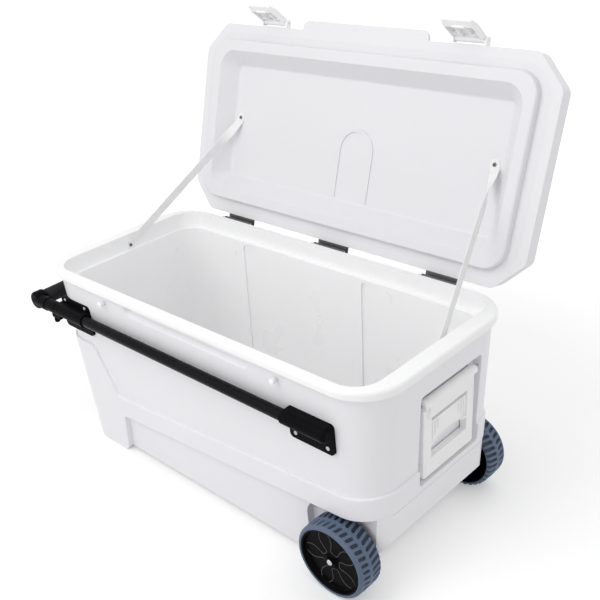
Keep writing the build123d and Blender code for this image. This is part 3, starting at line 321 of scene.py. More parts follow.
def makeDrawnLines():
    # fine parallel lines of drawn or brushed metal along the direction that the stretch leaves short
    tree, inside, outside = openGroup("drawnLines", [
        ("Scale", "value", 240.0), ("Stretch", "vector", (0.03, 1.0, 1.0))], [("Height", "value")])
    place = addNode(tree, "ShaderNodeTexCoord")
    squeeze = addNode(tree, "ShaderNodeVectorMath", operation="MULTIPLY")
    lines = addNode(tree, "ShaderNodeTexNoise", Detail=4.0, Roughness=0.7)
    tree.links.new(place.outputs["Object"], squeeze.inputs[0])
    tree.links.new(inside.outputs["Stretch"], squeeze.inputs[1])
    tree.links.new(squeeze.outputs[0], lines.inputs["Vector"])
    tree.links.new(inside.outputs["Scale"], lines.inputs["Scale"])
    tree.links.new(lines.outputs["Fac"], outside.inputs["Height"])
    return tree


def makeTapeWeave():
    # plain weave on the tape's own UVs: warp and weft sine bumps take turns over and under, with a mask for
    # painted shade in the gaps between threads
    tree, inside, outside = openGroup("tapeWeave", [
        ("Threads Across", "value", 18.0), ("Threads Along", "value", 500.0)],
        [("Height", "value"), ("Painted Gap Shade", "value")])
    place = addNode(tree, "ShaderNodeUVMap")
    split = addNode(tree, "ShaderNodeSeparateXYZ")
    tree.links.new(place.outputs["UV"], split.inputs["Vector"])
    waves = []
    for socket, label in (("X", "Threads Across"), ("Y", "Threads Along")):
        phase = addNode(tree, "ShaderNodeMath", operation="MULTIPLY")
        turns = addNode(tree, "ShaderNodeMath", operation="MULTIPLY")
        turns.inputs[1].default_value = math.pi
        wave = addNode(tree, "ShaderNodeMath", operation="SINE")
        tree.links.new(split.outputs[socket], phase.inputs[0])
        tree.links.new(inside.outputs[label], phase.inputs[1])
        tree.links.new(phase.outputs[0], turns.inputs[0])
        tree.links.new(turns.outputs[0], wave.inputs[0])
        waves.append(wave)
    product = addNode(tree, "ShaderNodeMath", operation="MULTIPLY")
    size = addNode(tree, "ShaderNodeMath", operation="ABSOLUTE")
    gapShade = addNode(tree, "ShaderNodeMapRange")
    gapShade.inputs["From Min"].default_value = 0.25
    gapShade.inputs["From Max"].default_value = 0.0
    tree.links.new(waves[0].outputs[0], product.inputs[0])
    tree.links.new(waves[1].outputs[0], product.inputs[1])
    tree.links.new(product.outputs[0], size.inputs[0])
    tree.links.new(size.outputs[0], gapShade.inputs["Value"])
    tree.links.new(size.outputs[0], outside.inputs["Height"])
    tree.links.new(gapShade.outputs["Result"], outside.inputs["Painted Gap Shade"])
    return tree


mouldGrain = makeMouldGrain()
tintDrift = makeTintDrift()
rubMarks = makeRubMarks()
settledDust = makeSettledDust()
drawnLines = makeDrawnLines()
tapeWeave = makeTapeWeave()


def useGroup(tree, group, **values):
    node = tree.nodes.new("ShaderNodeGroup")
    node.node_tree = group
    for key, value in values.items():
        node.inputs[key.replace("_", " ")].default_value = value
    return node


def startMaterial(name, **shaderValues):
    # plain numbers sit on the shader's own sockets
    material = bpy.data.materials.new(name)
    material.use_nodes = True
    tree = material.node_tree
    shader = tree.nodes["Principled BSDF"]
    for key, value in shaderValues.items():
        shader.inputs[key.replace("_", " ")].default_value = value
    return material, tree, shader


def layMarks(tree, colour, mask, over, amount):
    # mixes one more colour over what is there, by a mask
    scaled = addNode(tree, "ShaderNodeMath", operation="MULTIPLY")
    scaled.inputs[1].default_value = amount
    mix = addNode(tree, "ShaderNodeMix", data_type="RGBA")
    mix.inputs["B"].default_value = (*over, 1)
    tree.links.new(mask, scaled.inputs[0])
    tree.links.new(scaled.outputs[0], mix.inputs["Factor"])
    tree.links.new(colour, mix.inputs["A"])
    return mix.outputs["Result"]


def addBump(tree, shader, height, strength, distance):
    bump = addNode(tree, "ShaderNodeBump", Strength=strength, Distance=distance)
    tree.links.new(height, bump.inputs["Height"])
    tree.links.new(bump.outputs["Normal"], shader.inputs["Normal"])


def makePlastic(name, colour, second, roughness, grain, bump, marks, dust, drift=4.0, gloss=0.5):
    # moulded plastic: drifting tint, rub marks, settled dust and a fine grain
    material, tree, shader = startMaterial(name, Specular_IOR_Level=gloss)
    tint = useGroup(tree, tintDrift, Colour=(*colour, 1), Second_Colour=(*second, 1), Drift_Scale=drift)
    rubbed = useGroup(tree, rubMarks)
    dusty = useGroup(tree, settledDust)
    skin = useGroup(tree, mouldGrain, Grain_Scale=grain,
                    Roughness_Low=roughness[0], Roughness_High=roughness[1])
    result = layMarks(tree, tint.outputs["Colour"], rubbed.outputs["Mask"], marks[0], marks[1])
    result = layMarks(tree, result, dusty.outputs["Mask"], dust[0], dust[1])
    tree.links.new(result, shader.inputs["Base Color"])
    tree.links.new(skin.outputs["Roughness"], shader.inputs["Roughness"])
    addBump(tree, shader, skin.outputs["Height"], bump[0], bump[1])
    return material


def layPaintedLightAndDirt(material, shade, amount):
    # a mesh's own mark value lays a painted colour over the colour: painted shade and dirt in the tyre's
    # slots, a painted highlight on the hub's ridges; a mesh without one keeps it as it is
    tree = material.node_tree
    shader = tree.nodes["Principled BSDF"]
    paintedLightAndDirt = addNode(tree, "ShaderNodeAttribute", attribute_name="paintedLightAndDirt")
    before = shader.inputs["Base Color"].links[0].from_socket
    tree.links.new(layMarks(tree, before, paintedLightAndDirt.outputs["Fac"], shade, amount), shader.inputs["Base Color"])
    return material


def makeMetal(name, colour, second, roughness, stretch, bump):
    # drawn or plated metal with fine lines and a slow change of tone
    material, tree, shader = startMaterial(name, Metallic=1.0)
    tint = useGroup(tree, tintDrift, Colour=(*colour, 1), Second_Colour=(*second, 1), Drift_Scale=22.0)
    lines = useGroup(tree, drawnLines, Stretch=stretch)
    spread = addNode(tree, "ShaderNodeMapRange")
    spread.inputs["To Min"].default_value = roughness[0]
    spread.inputs["To Max"].default_value = roughness[1]
    tree.links.new(tint.outputs["Colour"], shader.inputs["Base Color"])
    tree.links.new(lines.outputs["Height"], spread.inputs["Value"])
    tree.links.new(spread.outputs["Result"], shader.inputs["Roughness"])
    addBump(tree, shader, lines.outputs["Height"], bump[0], bump[1])
    return material


def makeTape(name, colour, shade):
    material, tree, shader = startMaterial(name, Roughness=0.75, Sheen_Weight=0.25)
    tint = useGroup(tree, tintDrift, Colour=(*colour, 1), Second_Colour=(*shade, 1), Drift_Scale=40.0)
    weave = useGroup(tree, tapeWeave)
    # painted shade in the gaps between the threads
    result = layMarks(tree, tint.outputs["Colour"], weave.outputs["Painted Gap Shade"], shade, 0.55)
    tree.links.new(result, shader.inputs["Base Color"])
    addBump(tree, shader, weave.outputs["Height"], 0.6, 0.0004)
    return material


warmGrey = (0.55, 0.54, 0.52)
paleGrey = (0.70, 0.70, 0.71)
finishes = {
    "shellWhite": makePlastic("shellWhite", (0.865, 0.86, 0.89), (0.845, 0.84, 0.865), (0.34, 0.46), 1100,
                              (0.10, 0.0004), (warmGrey, 0.05), (paleGrey, 0.08)),
    # the liner's own white, raised above the shell's to paint light into the tub's shaded inside
    "linerLitWhite": makePlastic("linerLitWhite", (0.96, 0.96, 0.965), (0.945, 0.945, 0.95), (0.26, 0.38), 700,
                              (0.06, 0.0004), (paleGrey, 0.06), (paleGrey, 0.08)),
    # the lid's copy of the shell white, made darker to paint shade on the lid
    "lidShadedWhite": makePlastic("lidShadedWhite", (0.82, 0.815, 0.84), (0.80, 0.795, 0.815), (0.34, 0.46), 1100,
                            (0.10, 0.0004), (warmGrey, 0.10), (paleGrey, 0.10)),
    # the lid liner's copy of the liner white, made much darker to paint shade inside the lid
    "lidLinerShadedWhite": makePlastic(
        "lidLinerShadedWhite", (0.80, 0.795, 0.82), (0.78, 0.775, 0.795), (0.28, 0.40), 700,
        (0.06, 0.0004), (paleGrey, 0.12), (paleGrey, 0.08)),
    # brighter than the shell white, to paint light on the latches and keeper buttons, which lie in shade
    "latchLitWhite": makePlastic("latchLitWhite", (0.97, 0.97, 0.975), (0.95, 0.95, 0.96), (0.30, 0.42), 1300,
                              (0.08, 0.0003), (warmGrey, 0.12), (paleGrey, 0.10), 16.0),
    "handleWhite": makePlastic("handleWhite", (0.94, 0.935, 0.935), (0.915, 0.91, 0.905), (0.36, 0.50), 1200,
                               (0.14, 0.0004), (warmGrey, 0.16), (paleGrey, 0.10), 10.0),
    "foamCream": makePlastic("foamCream", (0.74, 0.68, 0.48), (0.68, 0.60, 0.40), (0.8, 0.95), 420,
                             (0.6, 0.001), (warmGrey, 0.1), (paleGrey, 0.05), 12.0),
    "bracketBlack": makePlastic(
        "bracketBlack", (0.003, 0.003, 0.004), (0.005, 0.005, 0.006), (0.34, 0.48), 1500,
        (0.16, 0.0003), ((0.02, 0.02, 0.022), 0.2), ((0.03, 0.03, 0.032), 0.08), 12.0, 0.03),
    # the hub's ridge crests take a painted highlight of grey
    "hubBlack": layPaintedLightAndDirt(makePlastic(
        "hubBlack", (0.0015, 0.0015, 0.0018), (0.0025, 0.0025, 0.003), (0.26, 0.38), 1500,
        (0.12, 0.0003), ((0.02, 0.02, 0.022), 0.2), ((0.03, 0.03, 0.03), 0.08), 14.0, 0.03),
        (0.16, 0.16, 0.17), 0.8),
    "drainWhite": makePlastic("drainWhite", (0.80, 0.80, 0.79), (0.76, 0.76, 0.75), (0.36, 0.5), 1200,
                              (0.10, 0.0003), (warmGrey, 0.2), (paleGrey, 0.2), 16.0),
    "sealRubber": makePlastic("sealRubber", (0.05, 0.05, 0.052), (0.07, 0.07, 0.07), (0.6, 0.75), 1500,
                              (0.25, 0.0003), (warmGrey, 0.1), (paleGrey, 0.15), 20.0),
    "sleeveFoam": makePlastic(
        "sleeveFoam", (0.010, 0.010, 0.012), (0.018, 0.018, 0.02), (0.62, 0.80), 900,
        (0.55, 0.0008), ((0.05, 0.05, 0.05), 0.15), ((0.06, 0.06, 0.06), 0.15), 20.0, 0.2),
    # the tread's slots and lugs take painted shade and dirt
    "tyreBlueGrey": layPaintedLightAndDirt(makePlastic(
        "tyreBlueGrey", (0.072, 0.110, 0.180), (0.098, 0.140, 0.215), (0.40, 0.56), 1300,
        (0.22, 0.0004), ((0.24, 0.26, 0.30), 0.30), ((0.30, 0.30, 0.30), 0.20), 18.0),
        (0.010, 0.016, 0.030), 0.85),
    "tubeBlack": makePlastic(
        "tubeBlack", (0.004, 0.004, 0.005), (0.007, 0.007, 0.008), (0.24, 0.36), 1700,
        (0.08, 0.0003), ((0.03, 0.03, 0.032), 0.2), ((0.03, 0.03, 0.032), 0.08), 16.0, 0.07),
    "hingeZinc": makeMetal("hingeZinc", (0.17, 0.168, 0.17), (0.11, 0.11, 0.115), (0.34, 0.52),
                           (0.08, 1.0, 1.0), (0.18, 0.0002)),
    "axleSteel": makeMetal("axleSteel", (0.62, 0.63, 0.65), (0.50, 0.51, 0.53), (0.20, 0.36),
                           (1.0, 0.05, 1.0), (0.12, 0.0002)),
    "screwBlack": makeMetal("screwBlack", (0.03, 0.03, 0.032), (0.05, 0.05, 0.052), (0.30, 0.46),
                            (1.0, 1.0, 1.0), (0.15, 0.0002)),
    "screwSilver": makeMetal("screwSilver", (0.60, 0.60, 0.61), (0.45, 0.45, 0.46), (0.24, 0.40),
                             (1.0, 1.0, 1.0), (0.10, 0.0002)),
    "stayTape": makeTape("stayTape", (0.97, 0.97, 0.97), (0.90, 0.90, 0.91)),
}

finishOfSlot = {"white_shell": "shellWhite", "white_liner": "linerLitWhite", "foam": "foamCream",
                "black_plastic": "bracketBlack", "black_tube": "tubeBlack", "black_sleeve": "sleeveFoam",
                "hinge_metal": "hingeZinc", "steel": "axleSteel", "strap": "stayTape", "tyre": "tyreBlueGrey",
                "hub": "hubBlack", "black_screw": "screwBlack", "drain_white": "drainWhite",
                "seal": "sealRubber"}
# the lid, its liner and the latches take the shaded and lit copies of the whites
ownFinish = {"lid_liner": "lidLinerShadedWhite", "lid_shell": "lidShadedWhite", "side_handle": "handleWhite",
             "latch_left": "latchLitWhite", "latch_right": "latchLitWhite",
             "latch_mounts": "latchLitWhite", "latch_keepers": "latchLitWhite", "axle_caps": "hubBlack"}


def makeSoftEdges():
    # joins the loose triangles, then smooths every edge flatter than an angle
    tree = bpy.data.node_groups.new("softEdges", "GeometryNodeTree")
    tree.is_modifier = True
    tree.interface.new_socket(name="Geometry", in_out="INPUT", socket_type="NodeSocketGeometry")
    tree.interface.new_socket(name="Geometry", in_out="OUTPUT", socket_type="NodeSocketGeometry")
    inside = tree.nodes.new("NodeGroupInput")
    outside = tree.nodes.new("NodeGroupOutput")
    weld = tree.nodes.new("GeometryNodeMergeByDistance")
    weld.inputs["Distance"].default_value = 2e-6
    faces = tree.nodes.new("GeometryNodeSetShadeSmooth")
    faces.domain = "FACE"
    edges = tree.nodes.new("GeometryNodeSetShadeSmooth")
    edges.domain = "EDGE"
    edges.inputs["Shade Smooth"].default_value = False
    angle = tree.nodes.new("GeometryNodeInputMeshEdgeAngle")
    sharper = tree.nodes.new("FunctionNodeCompare")
    sharper.operation = "GREATER_THAN"
    sharper.inputs[1].default_value = math.radians(26)
    tree.links.new(inside.outputs[0], weld.inputs["Geometry"])
    tree.links.new(weld.outputs["Geometry"], faces.inputs["Geometry"])
    tree.links.new(faces.outputs["Geometry"], edges.inputs["Geometry"])
    tree.links.new(angle.outputs["Unsigned Angle"], sharper.inputs[0])
    tree.links.new(sharper.outputs[0], edges.inputs["Selection"])
    tree.links.new(edges.outputs["Geometry"], outside.inputs[0])
    return tree


softEdges = makeSoftEdges()


def dressNode(node, finish):
    node.data.materials.clear()
    node.data.materials.append(finishes[finish])
    soft = node.modifiers.new("softEdges", "NODES")
    soft.node_group = softEdges
    level = node.modifiers.new("flatAreas", "WEIGHTED_NORMAL")
    level.keep_sharp = True
    level.weight = 90


slotOf = {row["node"]: row["material_slot"] for row in frame["record"]["subparts"]}
for name, node in nodes.items():
    dressNode(node, ownFinish.get(name, finishOfSlot[slotOf[name]]))
print("stage: finishes on", len(nodes), "nodes")



def surfacePiece(name, grid, closeRows, closeColumns, material, body, uvs=None, paintedLightAndDirt=None):
    # a mesh over a grid of points; rows and columns may join up with their own start
    rows, columns = grid.shape[:2]
    index = np.arange(rows * columns).reshape(rows, columns)
    if closeRows:
        index = np.vstack([index, index[:1]])
    if closeColumns:
        index = np.hstack([index, index[:, :1]])
    quads = np.stack([index[:-1, :-1], index[1:, :-1], index[1:, 1:], index[:-1, 1:]], axis=-1).reshape(-1, 4)
    mesh = bpy.data.meshes.new(name)
    mesh.from_pydata(grid.reshape(-1, 3), [], quads)
    mesh.update()
    mesh.shade_smooth()
    mesh.materials.append(finishes[material])
    if uvs is not None:
        layer = mesh.uv_layers.new(name="tape")
        corner = np.empty(len(mesh.loops), dtype=np.int32)
        mesh.loops.foreach_get("vertex_index", corner)
        layer.data.foreach_set("uv", uvs.reshape(-1, 2)[corner].astype(np.float32).ravel())
    if paintedLightAndDirt is not None:
        mask = mesh.attributes.new("paintedLightAndDirt", "FLOAT", "POINT")
        mask.data.foreach_set("value", paintedLightAndDirt.astype(np.float32).ravel())
    piece = bpy.data.objects.new(name, mesh)
    bpy.context.scene.collection.objects.link(piece)
    if body:
        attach(piece, body)
    return piece


def softStep(low, high, value):
    # cubic ease from 0 at low to 1 at high
    share = np.clip((value - low) / (high - low), 0, 1)
    return share * share * (3 - 2 * share)


tyreShape = {"thickness": 0.009, "shoulder": 0.007, "innerRound": 0.0015, "slots": 36, "samplesPerSlot": 18,
             "slotDepth": 0.0042, "slotReach": 0.0050, "slotRadius": 0.0034, "slotPlace": -0.0135,
             "slant": 0.22, "lugStart": 0.0055, "lugRadius": 0.0036, "lugDepth": 0.0048, "crown": 0.0010}


def tyreSection(half, inner, outer, shape):
    # one turn round the tyre's section: rounded rectangle, fine across the tread and coarse elsewhere
    big, small = shape["shoulder"], shape["innerRound"]
    bend = np.linspace(0, math.pi / 2, 12)
    tread = np.linspace(-half + big, half - big, 54)
    little = np.linspace(0, math.pi / 2, 5)
    side = np.linspace(0, 1, 5)[1:-1]
    across = [tread, half - big + big * np.sin(bend[1:]), np.full(3, half),
              half - small + small * np.cos(little), np.linspace(half - small, -half + small, 6)[1:-1],
              -half + small - small * np.sin(little), np.full(3, -half),
              -half + big - big * np.cos(bend[:-1])]
    drop = outer - big - inner - small
    out = [np.full(54, outer), outer - big + big * np.cos(bend[1:]), outer - big - drop * side,
           inner + small - small * np.sin(little), np.full(4, inner), inner + small - small * np.cos(little),
           inner + small + drop * side, outer - big + big * np.sin(bend[:-1])]
    return np.concatenate(across), np.concatenate(out)


def makeTyre(name, body, side, shape):
    # radius = section radius - slot depth * slot mask - lug depth * lug mask, swept round the axle;
    # a mask is 1 within its radius of a short line laid across the tread, and eases to 0 at its edge
    low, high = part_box(name)
    middle = (low + high) / 2
    outer = (high.x - low.x) / 2
    half = (high.y - low.y) / 2
    across, out = tyreSection(half, outer - shape["thickness"], outer, shape)
    count = shape["slots"] * shape["samplesPerSlot"]
    turn = np.linspace(0, 2 * math.pi, count, endpoint=False)[:, None]
    pitch = 2 * math.pi * outer / shape["slots"]
    along = turn * outer
    place = shape["slotPlace"]
    leaning = along + shape["slant"] * (across - place)
    slotOffset = (leaning / pitch - np.round(leaning / pitch)) * pitch
    lugAlong = along - shape["slant"] * across + pitch / 2
    lugOffset = (lugAlong / pitch - np.round(lugAlong / pitch)) * pitch
    onTread = softStep(outer - 0.0075, outer - 0.002, out)
    slotAway = np.hypot(np.maximum(np.abs(across - place) - shape["slotReach"], 0), slotOffset)
    slotMask = 1 - softStep(shape["slotRadius"] - 0.0008, shape["slotRadius"] + 0.0004, slotAway)
    lugAway = np.hypot(np.maximum(shape["lugStart"] - across, 0), lugOffset)
    lugMask = 1 - softStep(shape["lugRadius"] - 0.0008, shape["lugRadius"] + 0.0004, lugAway)
    crown = shape["crown"] * (across / half) ** 2 * onTread
    radius = out - crown - onTread * (shape["slotDepth"] * slotMask + shape["lugDepth"] * lugMask)
    grid = np.stack([middle.x + radius * np.cos(turn), middle.y + side * across + 0 * turn,
                     middle.z + radius * np.sin(turn)], axis=-1)
    # the slot and lug mask, kept on the mesh for painted shade and dirt in the tread
    paintedLightAndDirt = onTread * np.maximum(slotMask, lugMask)
    if side < 0:
        grid, paintedLightAndDirt = grid[:, ::-1], paintedLightAndDirt[:, ::-1]
    piece = surfacePiece(name + "Tread", grid, True, True, "tyreBlueGrey", body, paintedLightAndDirt=paintedLightAndDirt)
    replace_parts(piece, name)


makeTyre("tyre_front", "wheel_front", 1, tyreShape)
makeTyre("tyre_rear", "wheel_rear", -1, tyreShape)
print("stage: tyres")


def closedPiece(name, parts, material, body):
    # one mesh from (points, faces) parts, each turned so that its faces look outwards
    allPoints, allFaces, start = [], [], 0
    for points, faces in parts:
        corners = points[faces[:, :3]]
        volume = np.einsum("ij,ij->i", corners[:, 0], np.cross(corners[:, 1], corners[:, 2])).sum()
        allPoints.append(points)
        allFaces.append((faces if volume > 0 else faces[:, ::-1]) + start)
        start += len(points)
    mesh = bpy.data.meshes.new(name)
    mesh.from_pydata(np.vstack(allPoints), [], np.vstack(allFaces).tolist())
    mesh.update()
    mesh.shade_smooth()
    mesh.materials.append(finishes[material])
    piece = bpy.data.objects.new(name, mesh)
    bpy.context.scene.collection.objects.link(piece)
    if body:
        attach(piece, body)
    return piece


def turnedPart(radii, heights, segments, recess=None):
    # triangles of a profile turned round the z axis, closed at both ends by a point on the axis;
    # a recess takes (x, y) to a depth that is cut from the first side
    turn = np.linspace(0, 2 * math.pi, segments, endpoint=False)
    x = radii[:, None] * np.cos(turn)
    y = radii[:, None] * np.sin(turn)
    z = np.repeat(heights[:, None], segments, axis=1)
    if recess:
        z = z - recess(x, y) * (heights[:, None] > heights.max() - 0.0012)
    rings = np.stack([x, y, z], axis=-1).reshape(-1, 3)
    first = np.array([[0, 0, heights[0] - (recess(0.0, 0.0) if recess else 0)]])
    last = np.array([[0, 0, heights[-1]]])
    index = np.arange(rings.shape[0]).reshape(len(radii), segments) + 1
    after = np.roll(index, -1, axis=1)
    sides = np.concatenate([np.stack([index[:-1], index[1:], after[1:]], axis=-1).reshape(-1, 3),
                            np.stack([index[:-1], after[1:], after[:-1]], axis=-1).reshape(-1, 3)])
    top = np.stack([np.zeros(segments, int), index[0], after[0]], axis=-1)
    bottom = np.stack([np.full(segments, rings.shape[0] + 1), after[-1], index[-1]], axis=-1)
    return np.vstack([first, rings, last]), np.vstack([top, sides, bottom])


def islands(name, reach=0.03):
    # a node's points in groups that lie within the reach of each other
    node = nodes[name]
    points = np.array([node.matrix_world @ vertex.co for vertex in node.data.vertices])
    groups = []
    while len(points):
        near = np.linalg.norm(points - points[0], axis=1) < reach
        near = np.linalg.norm(points - points[near].mean(axis=0), axis=1) < reach
        groups.append(points[near])
        points = points[~near]
    return groups


def frameOf(axis):
    # unit vectors across and along an axis, as the columns of a matrix
    along = np.array(axis) / np.linalg.norm(axis)
    helper = np.array((1.0, 0, 0)) if abs(along[0]) < 0.8 else np.array((0, 0, 1.0))
    across = np.cross(helper, along)
    across = across / np.linalg.norm(across)
    return np.stack([across, np.cross(along, across), along], axis=1)


screwShape = {"headHeight": 0.0021, "domeDrop": 0.0010, "armHalf": 0.00048, "armLength": 0.0019,
              "recessDepth": 0.0011, "segments": 72, "shankRadius": 0.0019}


def screwRecess(shape):
    # cross recess: depth where a point lies within either arm, eased over 0.25 mm
    def depth(x, y):
        first = np.maximum(np.abs(x) - shape["armHalf"], np.abs(y) - shape["armLength"])
        second = np.maximum(np.abs(y) - shape["armHalf"], np.abs(x) - shape["armLength"])
        return shape["recessDepth"] * (1 - softStep(-0.0001, 0.00015, np.minimum(first, second)))
    return depth


def makeScrews(name, body, finish, axisOf, shape):
    # one turned head with a cross recess and a short shank for each screw of the node
    parts = []
    for number, points in enumerate(islands(name)):
        basis = frameOf(axisOf(points.mean(axis=0)))
        local = points @ basis
        low, high = local.min(axis=0), local.max(axis=0)
        radius = (high[0] - low[0]) / 2
        drop, tall = shape["domeDrop"], shape["headHeight"]
        share = np.linspace(0.03, 0.96, 26)
        corner = np.linspace(0, math.pi / 2, 5)[1:]
        radii = np.concatenate([radius * share, radius * (0.96 + 0.04 * np.sin(corner)), [radius] * 2,
                                [radius * 0.9, shape["shankRadius"], shape["shankRadius"], 0.0004]])
        heights = np.concatenate([-drop * share ** 2, -drop * 0.96 ** 2 - 0.0003 * (1 - np.cos(corner)),
                                  [-tall * 0.8, -tall], [-tall, -tall, -tall - 0.004, -tall - 0.004]])
        points, faces = turnedPart(radii, heights, shape["segments"], screwRecess(shape))
        turn = 0.7 * number
        spin = np.array([[math.cos(turn), -math.sin(turn), 0],
                         [math.sin(turn), math.cos(turn), 0], [0, 0, 1]])
        middle = np.array([(low[0] + high[0]) / 2, (low[1] + high[1]) / 2, high[2]])
        parts.append(((points @ spin.T + middle) @ basis.T, faces))
    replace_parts(closedPiece(name + "Heads", parts, finish, body), name)


def outOfWall(at):
    return (0, math.copysign(1, at[1] - tubMiddle.y), 0)


def intoTub(at):
    return (math.copysign(1, tubMiddle.x - at[0]), 0, 0)


# where the open lid's hinge leaves and its inner face look
lidLeaf = (0, -0.2823, -0.9593)
lidInside = (0, -0.9593, 0.2823)
makeScrews("bracket_screws", "tub", "screwSilver", outOfWall, screwShape)
makeScrews("hinge_screws_tub", "tub", "hingeZinc", lambda at: (0, 1, 0), screwShape)
makeScrews("hinge_screws_lid", "lid", "hingeZinc", lambda at: lidLeaf, screwShape)
makeScrews("stay_screws_tub", "tub", "hingeZinc", intoTub, screwShape)
makeScrews("stay_screws_lid", "lid", "hingeZinc", lambda at: lidInside, screwShape)
print("stage: screws")


keeperShape = {"radius": 0.0056, "waist": 0.0044, "dome": 0.0008, "segments": 64}


def makeKeepers(name, body, shape):
    # two round buttons on a waist, each turned about the wall's outward direction
    parts = []
    for points in islands(name):
        basis = frameOf((0, -1, 0))
        local = points @ basis
        low, high = local.min(axis=0), local.max(axis=0)
        tall = high[2] - low[2]
        share = np.linspace(0.05, 0.9, 12)
        corner = np.linspace(0, math.pi / 2, 6)
        head = shape["radius"]
        waist, dome = shape["waist"], shape["dome"]
        radii = np.concatenate([head * share, head * (0.9 + 0.1 * np.sin(corner)),
                                [head, head * 0.97, waist], [waist, waist * 0.5]])
        heights = np.concatenate([-dome * share ** 2, -dome * 0.81 - 0.0006 * (1 - np.cos(corner)),
                                  [-tall * 0.36, -tall * 0.42, -tall * 0.5], [-tall, -tall]])
        points, faces = turnedPart(radii, heights, shape["segments"])
        middle = np.array([(low[0] + high[0]) / 2, (low[1] + high[1]) / 2, high[2]])
        parts.append(((points + middle) @ basis.T, faces))
    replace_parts(closedPiece(name + "Buttons", parts, "latchLitWhite", body), name)


makeKeepers("latch_keepers", "tub", keeperShape)
print("stage: latch keepers")


hubShape = {"segments": 720, "outer": 0.068, "lip": 0.0645, "web": 0.0605, "boss": 0.013, "bore": 0.00605,
            "face": -0.0095, "bossFace": -0.0045, "rimFace": -0.0012, "width": 0.058, "proud": 0.0025,
            "petals": 5, "petalRoot": 22, "petalDip": 7, "petalFlare": 8, "petalStart": 0.0045,
            "petalBend": 0.004, "petalEnd": 0.0005, "ridgeHalf": 0.0009, "ridgeHeight": 0.0012}


def hubSection(shape):
    # closed loop of (radius, distance along the axle), fine over the web and coarse elsewhere
    boss, web, lip, outer = shape["boss"], shape["web"], shape["lip"], shape["outer"]
    face, bossFace, rimFace = shape["face"], shape["bossFace"], shape["rimFace"]
    back, inner = -shape["width"], shape["proud"] - shape["width"]
    corners = [(shape["bore"], bossFace, 4), (boss - 0.001, bossFace, 3), (boss, bossFace - 0.001, 3),
               (boss + 0.002, face + 0.0008, 3), (boss + 0.004, face, 64), (web, face, 3),
               (web + 0.0015, face + 0.001, 5), (lip, rimFace - 0.0008, 3), (lip + 0.0008, rimFace, 3),
               (outer - 0.0006, rimFace, 2), (outer, rimFace - 0.0006, 4), (outer, inner, 2), (lip, inner, 5),
               (lip, face - 0.004, 6), (boss + 0.002, face - 0.004, 6), (boss, back, 2),
               (shape["bore"], back, 4)]
    loop = []
    for start, end in zip(corners, corners[1:] + corners[:1]):
        share = np.linspace(0, 1, start[2], endpoint=False)[:, None]
        loop.append(np.array(start[:2]) * (1 - share) + np.array(end[:2]) * share)
    return np.concatenate(loop)


def petalLine(shape):
    # U-shaped curve (radius, degrees) whose closed end is at the boss and whose arms run out to the rim
    share = np.linspace(0, 1, 40)
    start = shape["boss"] + shape["petalStart"]
    armStart, armEnd = start + shape["petalBend"], shape["web"] - shape["petalEnd"]
    dip = shape["petalDip"] * np.sin(math.pi * share * 0.9)
    arm = np.stack([armStart + (armEnd - armStart) * share,
                    shape["petalRoot"] - dip + shape["petalFlare"] * share ** 2], axis=1)
    bend = np.linspace(0, 1, 14)[:-1]
    close = np.stack([start + shape["petalBend"] * (1 - np.cos(bend * math.pi / 2)),
                      shape["petalRoot"] * np.sin(bend * math.pi / 2)], axis=1)
    half = np.concatenate([close, arm])
    angle = np.radians(half[:, 1])
    return np.stack([half[:, 0] * np.cos(angle), half[:, 0] * np.sin(angle)], axis=1)


def makeHub(name, body, side, shape):
    # out along the axle = section + ridge height * ridge mask on the web; the mask falls from 1 on a petal
    # line to 0 at the ridge's half width
    low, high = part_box(name)
    middle = (low + high) / 2
    outerFace = (high.y + shape["proud"]) if side > 0 else (low.y - shape["proud"])
    loop = hubSection(shape)
    turn = np.linspace(0, 2 * math.pi, shape["segments"], endpoint=False)[:, None]
    radius = loop[:, 0] + 0 * turn
    out = loop[:, 1] + 0 * turn
    onWeb = softStep(shape["boss"] + 0.003, shape["boss"] + 0.005, radius) * (out > shape["face"] - 0.001)
    onWeb = onWeb * (1 - softStep(shape["web"] - 0.0015, shape["web"] + 0.001, radius))
    sector = 2 * math.pi / shape["petals"]
    folded = np.abs((turn + sector / 2) % sector - sector / 2) + 0 * radius
    flat = np.stack([radius * np.cos(folded), radius * np.sin(folded)], axis=-1)
    line = petalLine(shape)
    away = np.full(radius.shape, 1.0)
    for start, end in zip(line[:-1], line[1:]):
        along = end - start
        share = np.clip(((flat - start) @ along) / (along @ along), 0, 1)[..., None]
        away = np.minimum(away, np.linalg.norm(flat - start - share * along, axis=-1))
    ridge = onWeb * (1 - softStep(0.0002, shape["ridgeHalf"], away))
    out = out + shape["ridgeHeight"] * ridge
    grid = np.stack([middle.x + radius * np.cos(turn), outerFace + side * out,
                     middle.z + radius * np.sin(turn)], axis=-1)
    if side > 0:
        grid, ridge = grid[:, ::-1], ridge[:, ::-1]
    # the ridge mask, kept on the mesh for a painted highlight along the crests
    piece = surfacePiece(name + "Disc", grid, True, True, "hubBlack", body, paintedLightAndDirt=ridge)
    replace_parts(piece, name)


makeHub("hub_front", "wheel_front", -1, hubShape)
makeHub("hub_rear", "wheel_rear", 1, hubShape)
print("stage: hubs")


tapeShape = {"half": 0.0105, "thick": 0.0014, "edge": 0.0005, "step": 0.0012,
             "twistLength": 0.11, "smooth": 5, "narrow": 0.95, "underHead": 0.0024, "flatPoints": 15}


def eyeletAt(name, side, axis):
    # the strap's middle under one screw: below the head and half a strap thickness
    group = next(points for points in islands(name) if (points[:, 0].mean() - tubMiddle.x) * side > 0)
    basis = frameOf(axis)
    local = group @ basis
    low, high = local.min(axis=0), local.max(axis=0)
    depth = high[2] - tapeShape["underHead"] - tapeShape["thick"] / 2
    return basis @ np.array([(low[0] + high[0]) / 2, (low[1] + high[1]) / 2, depth])


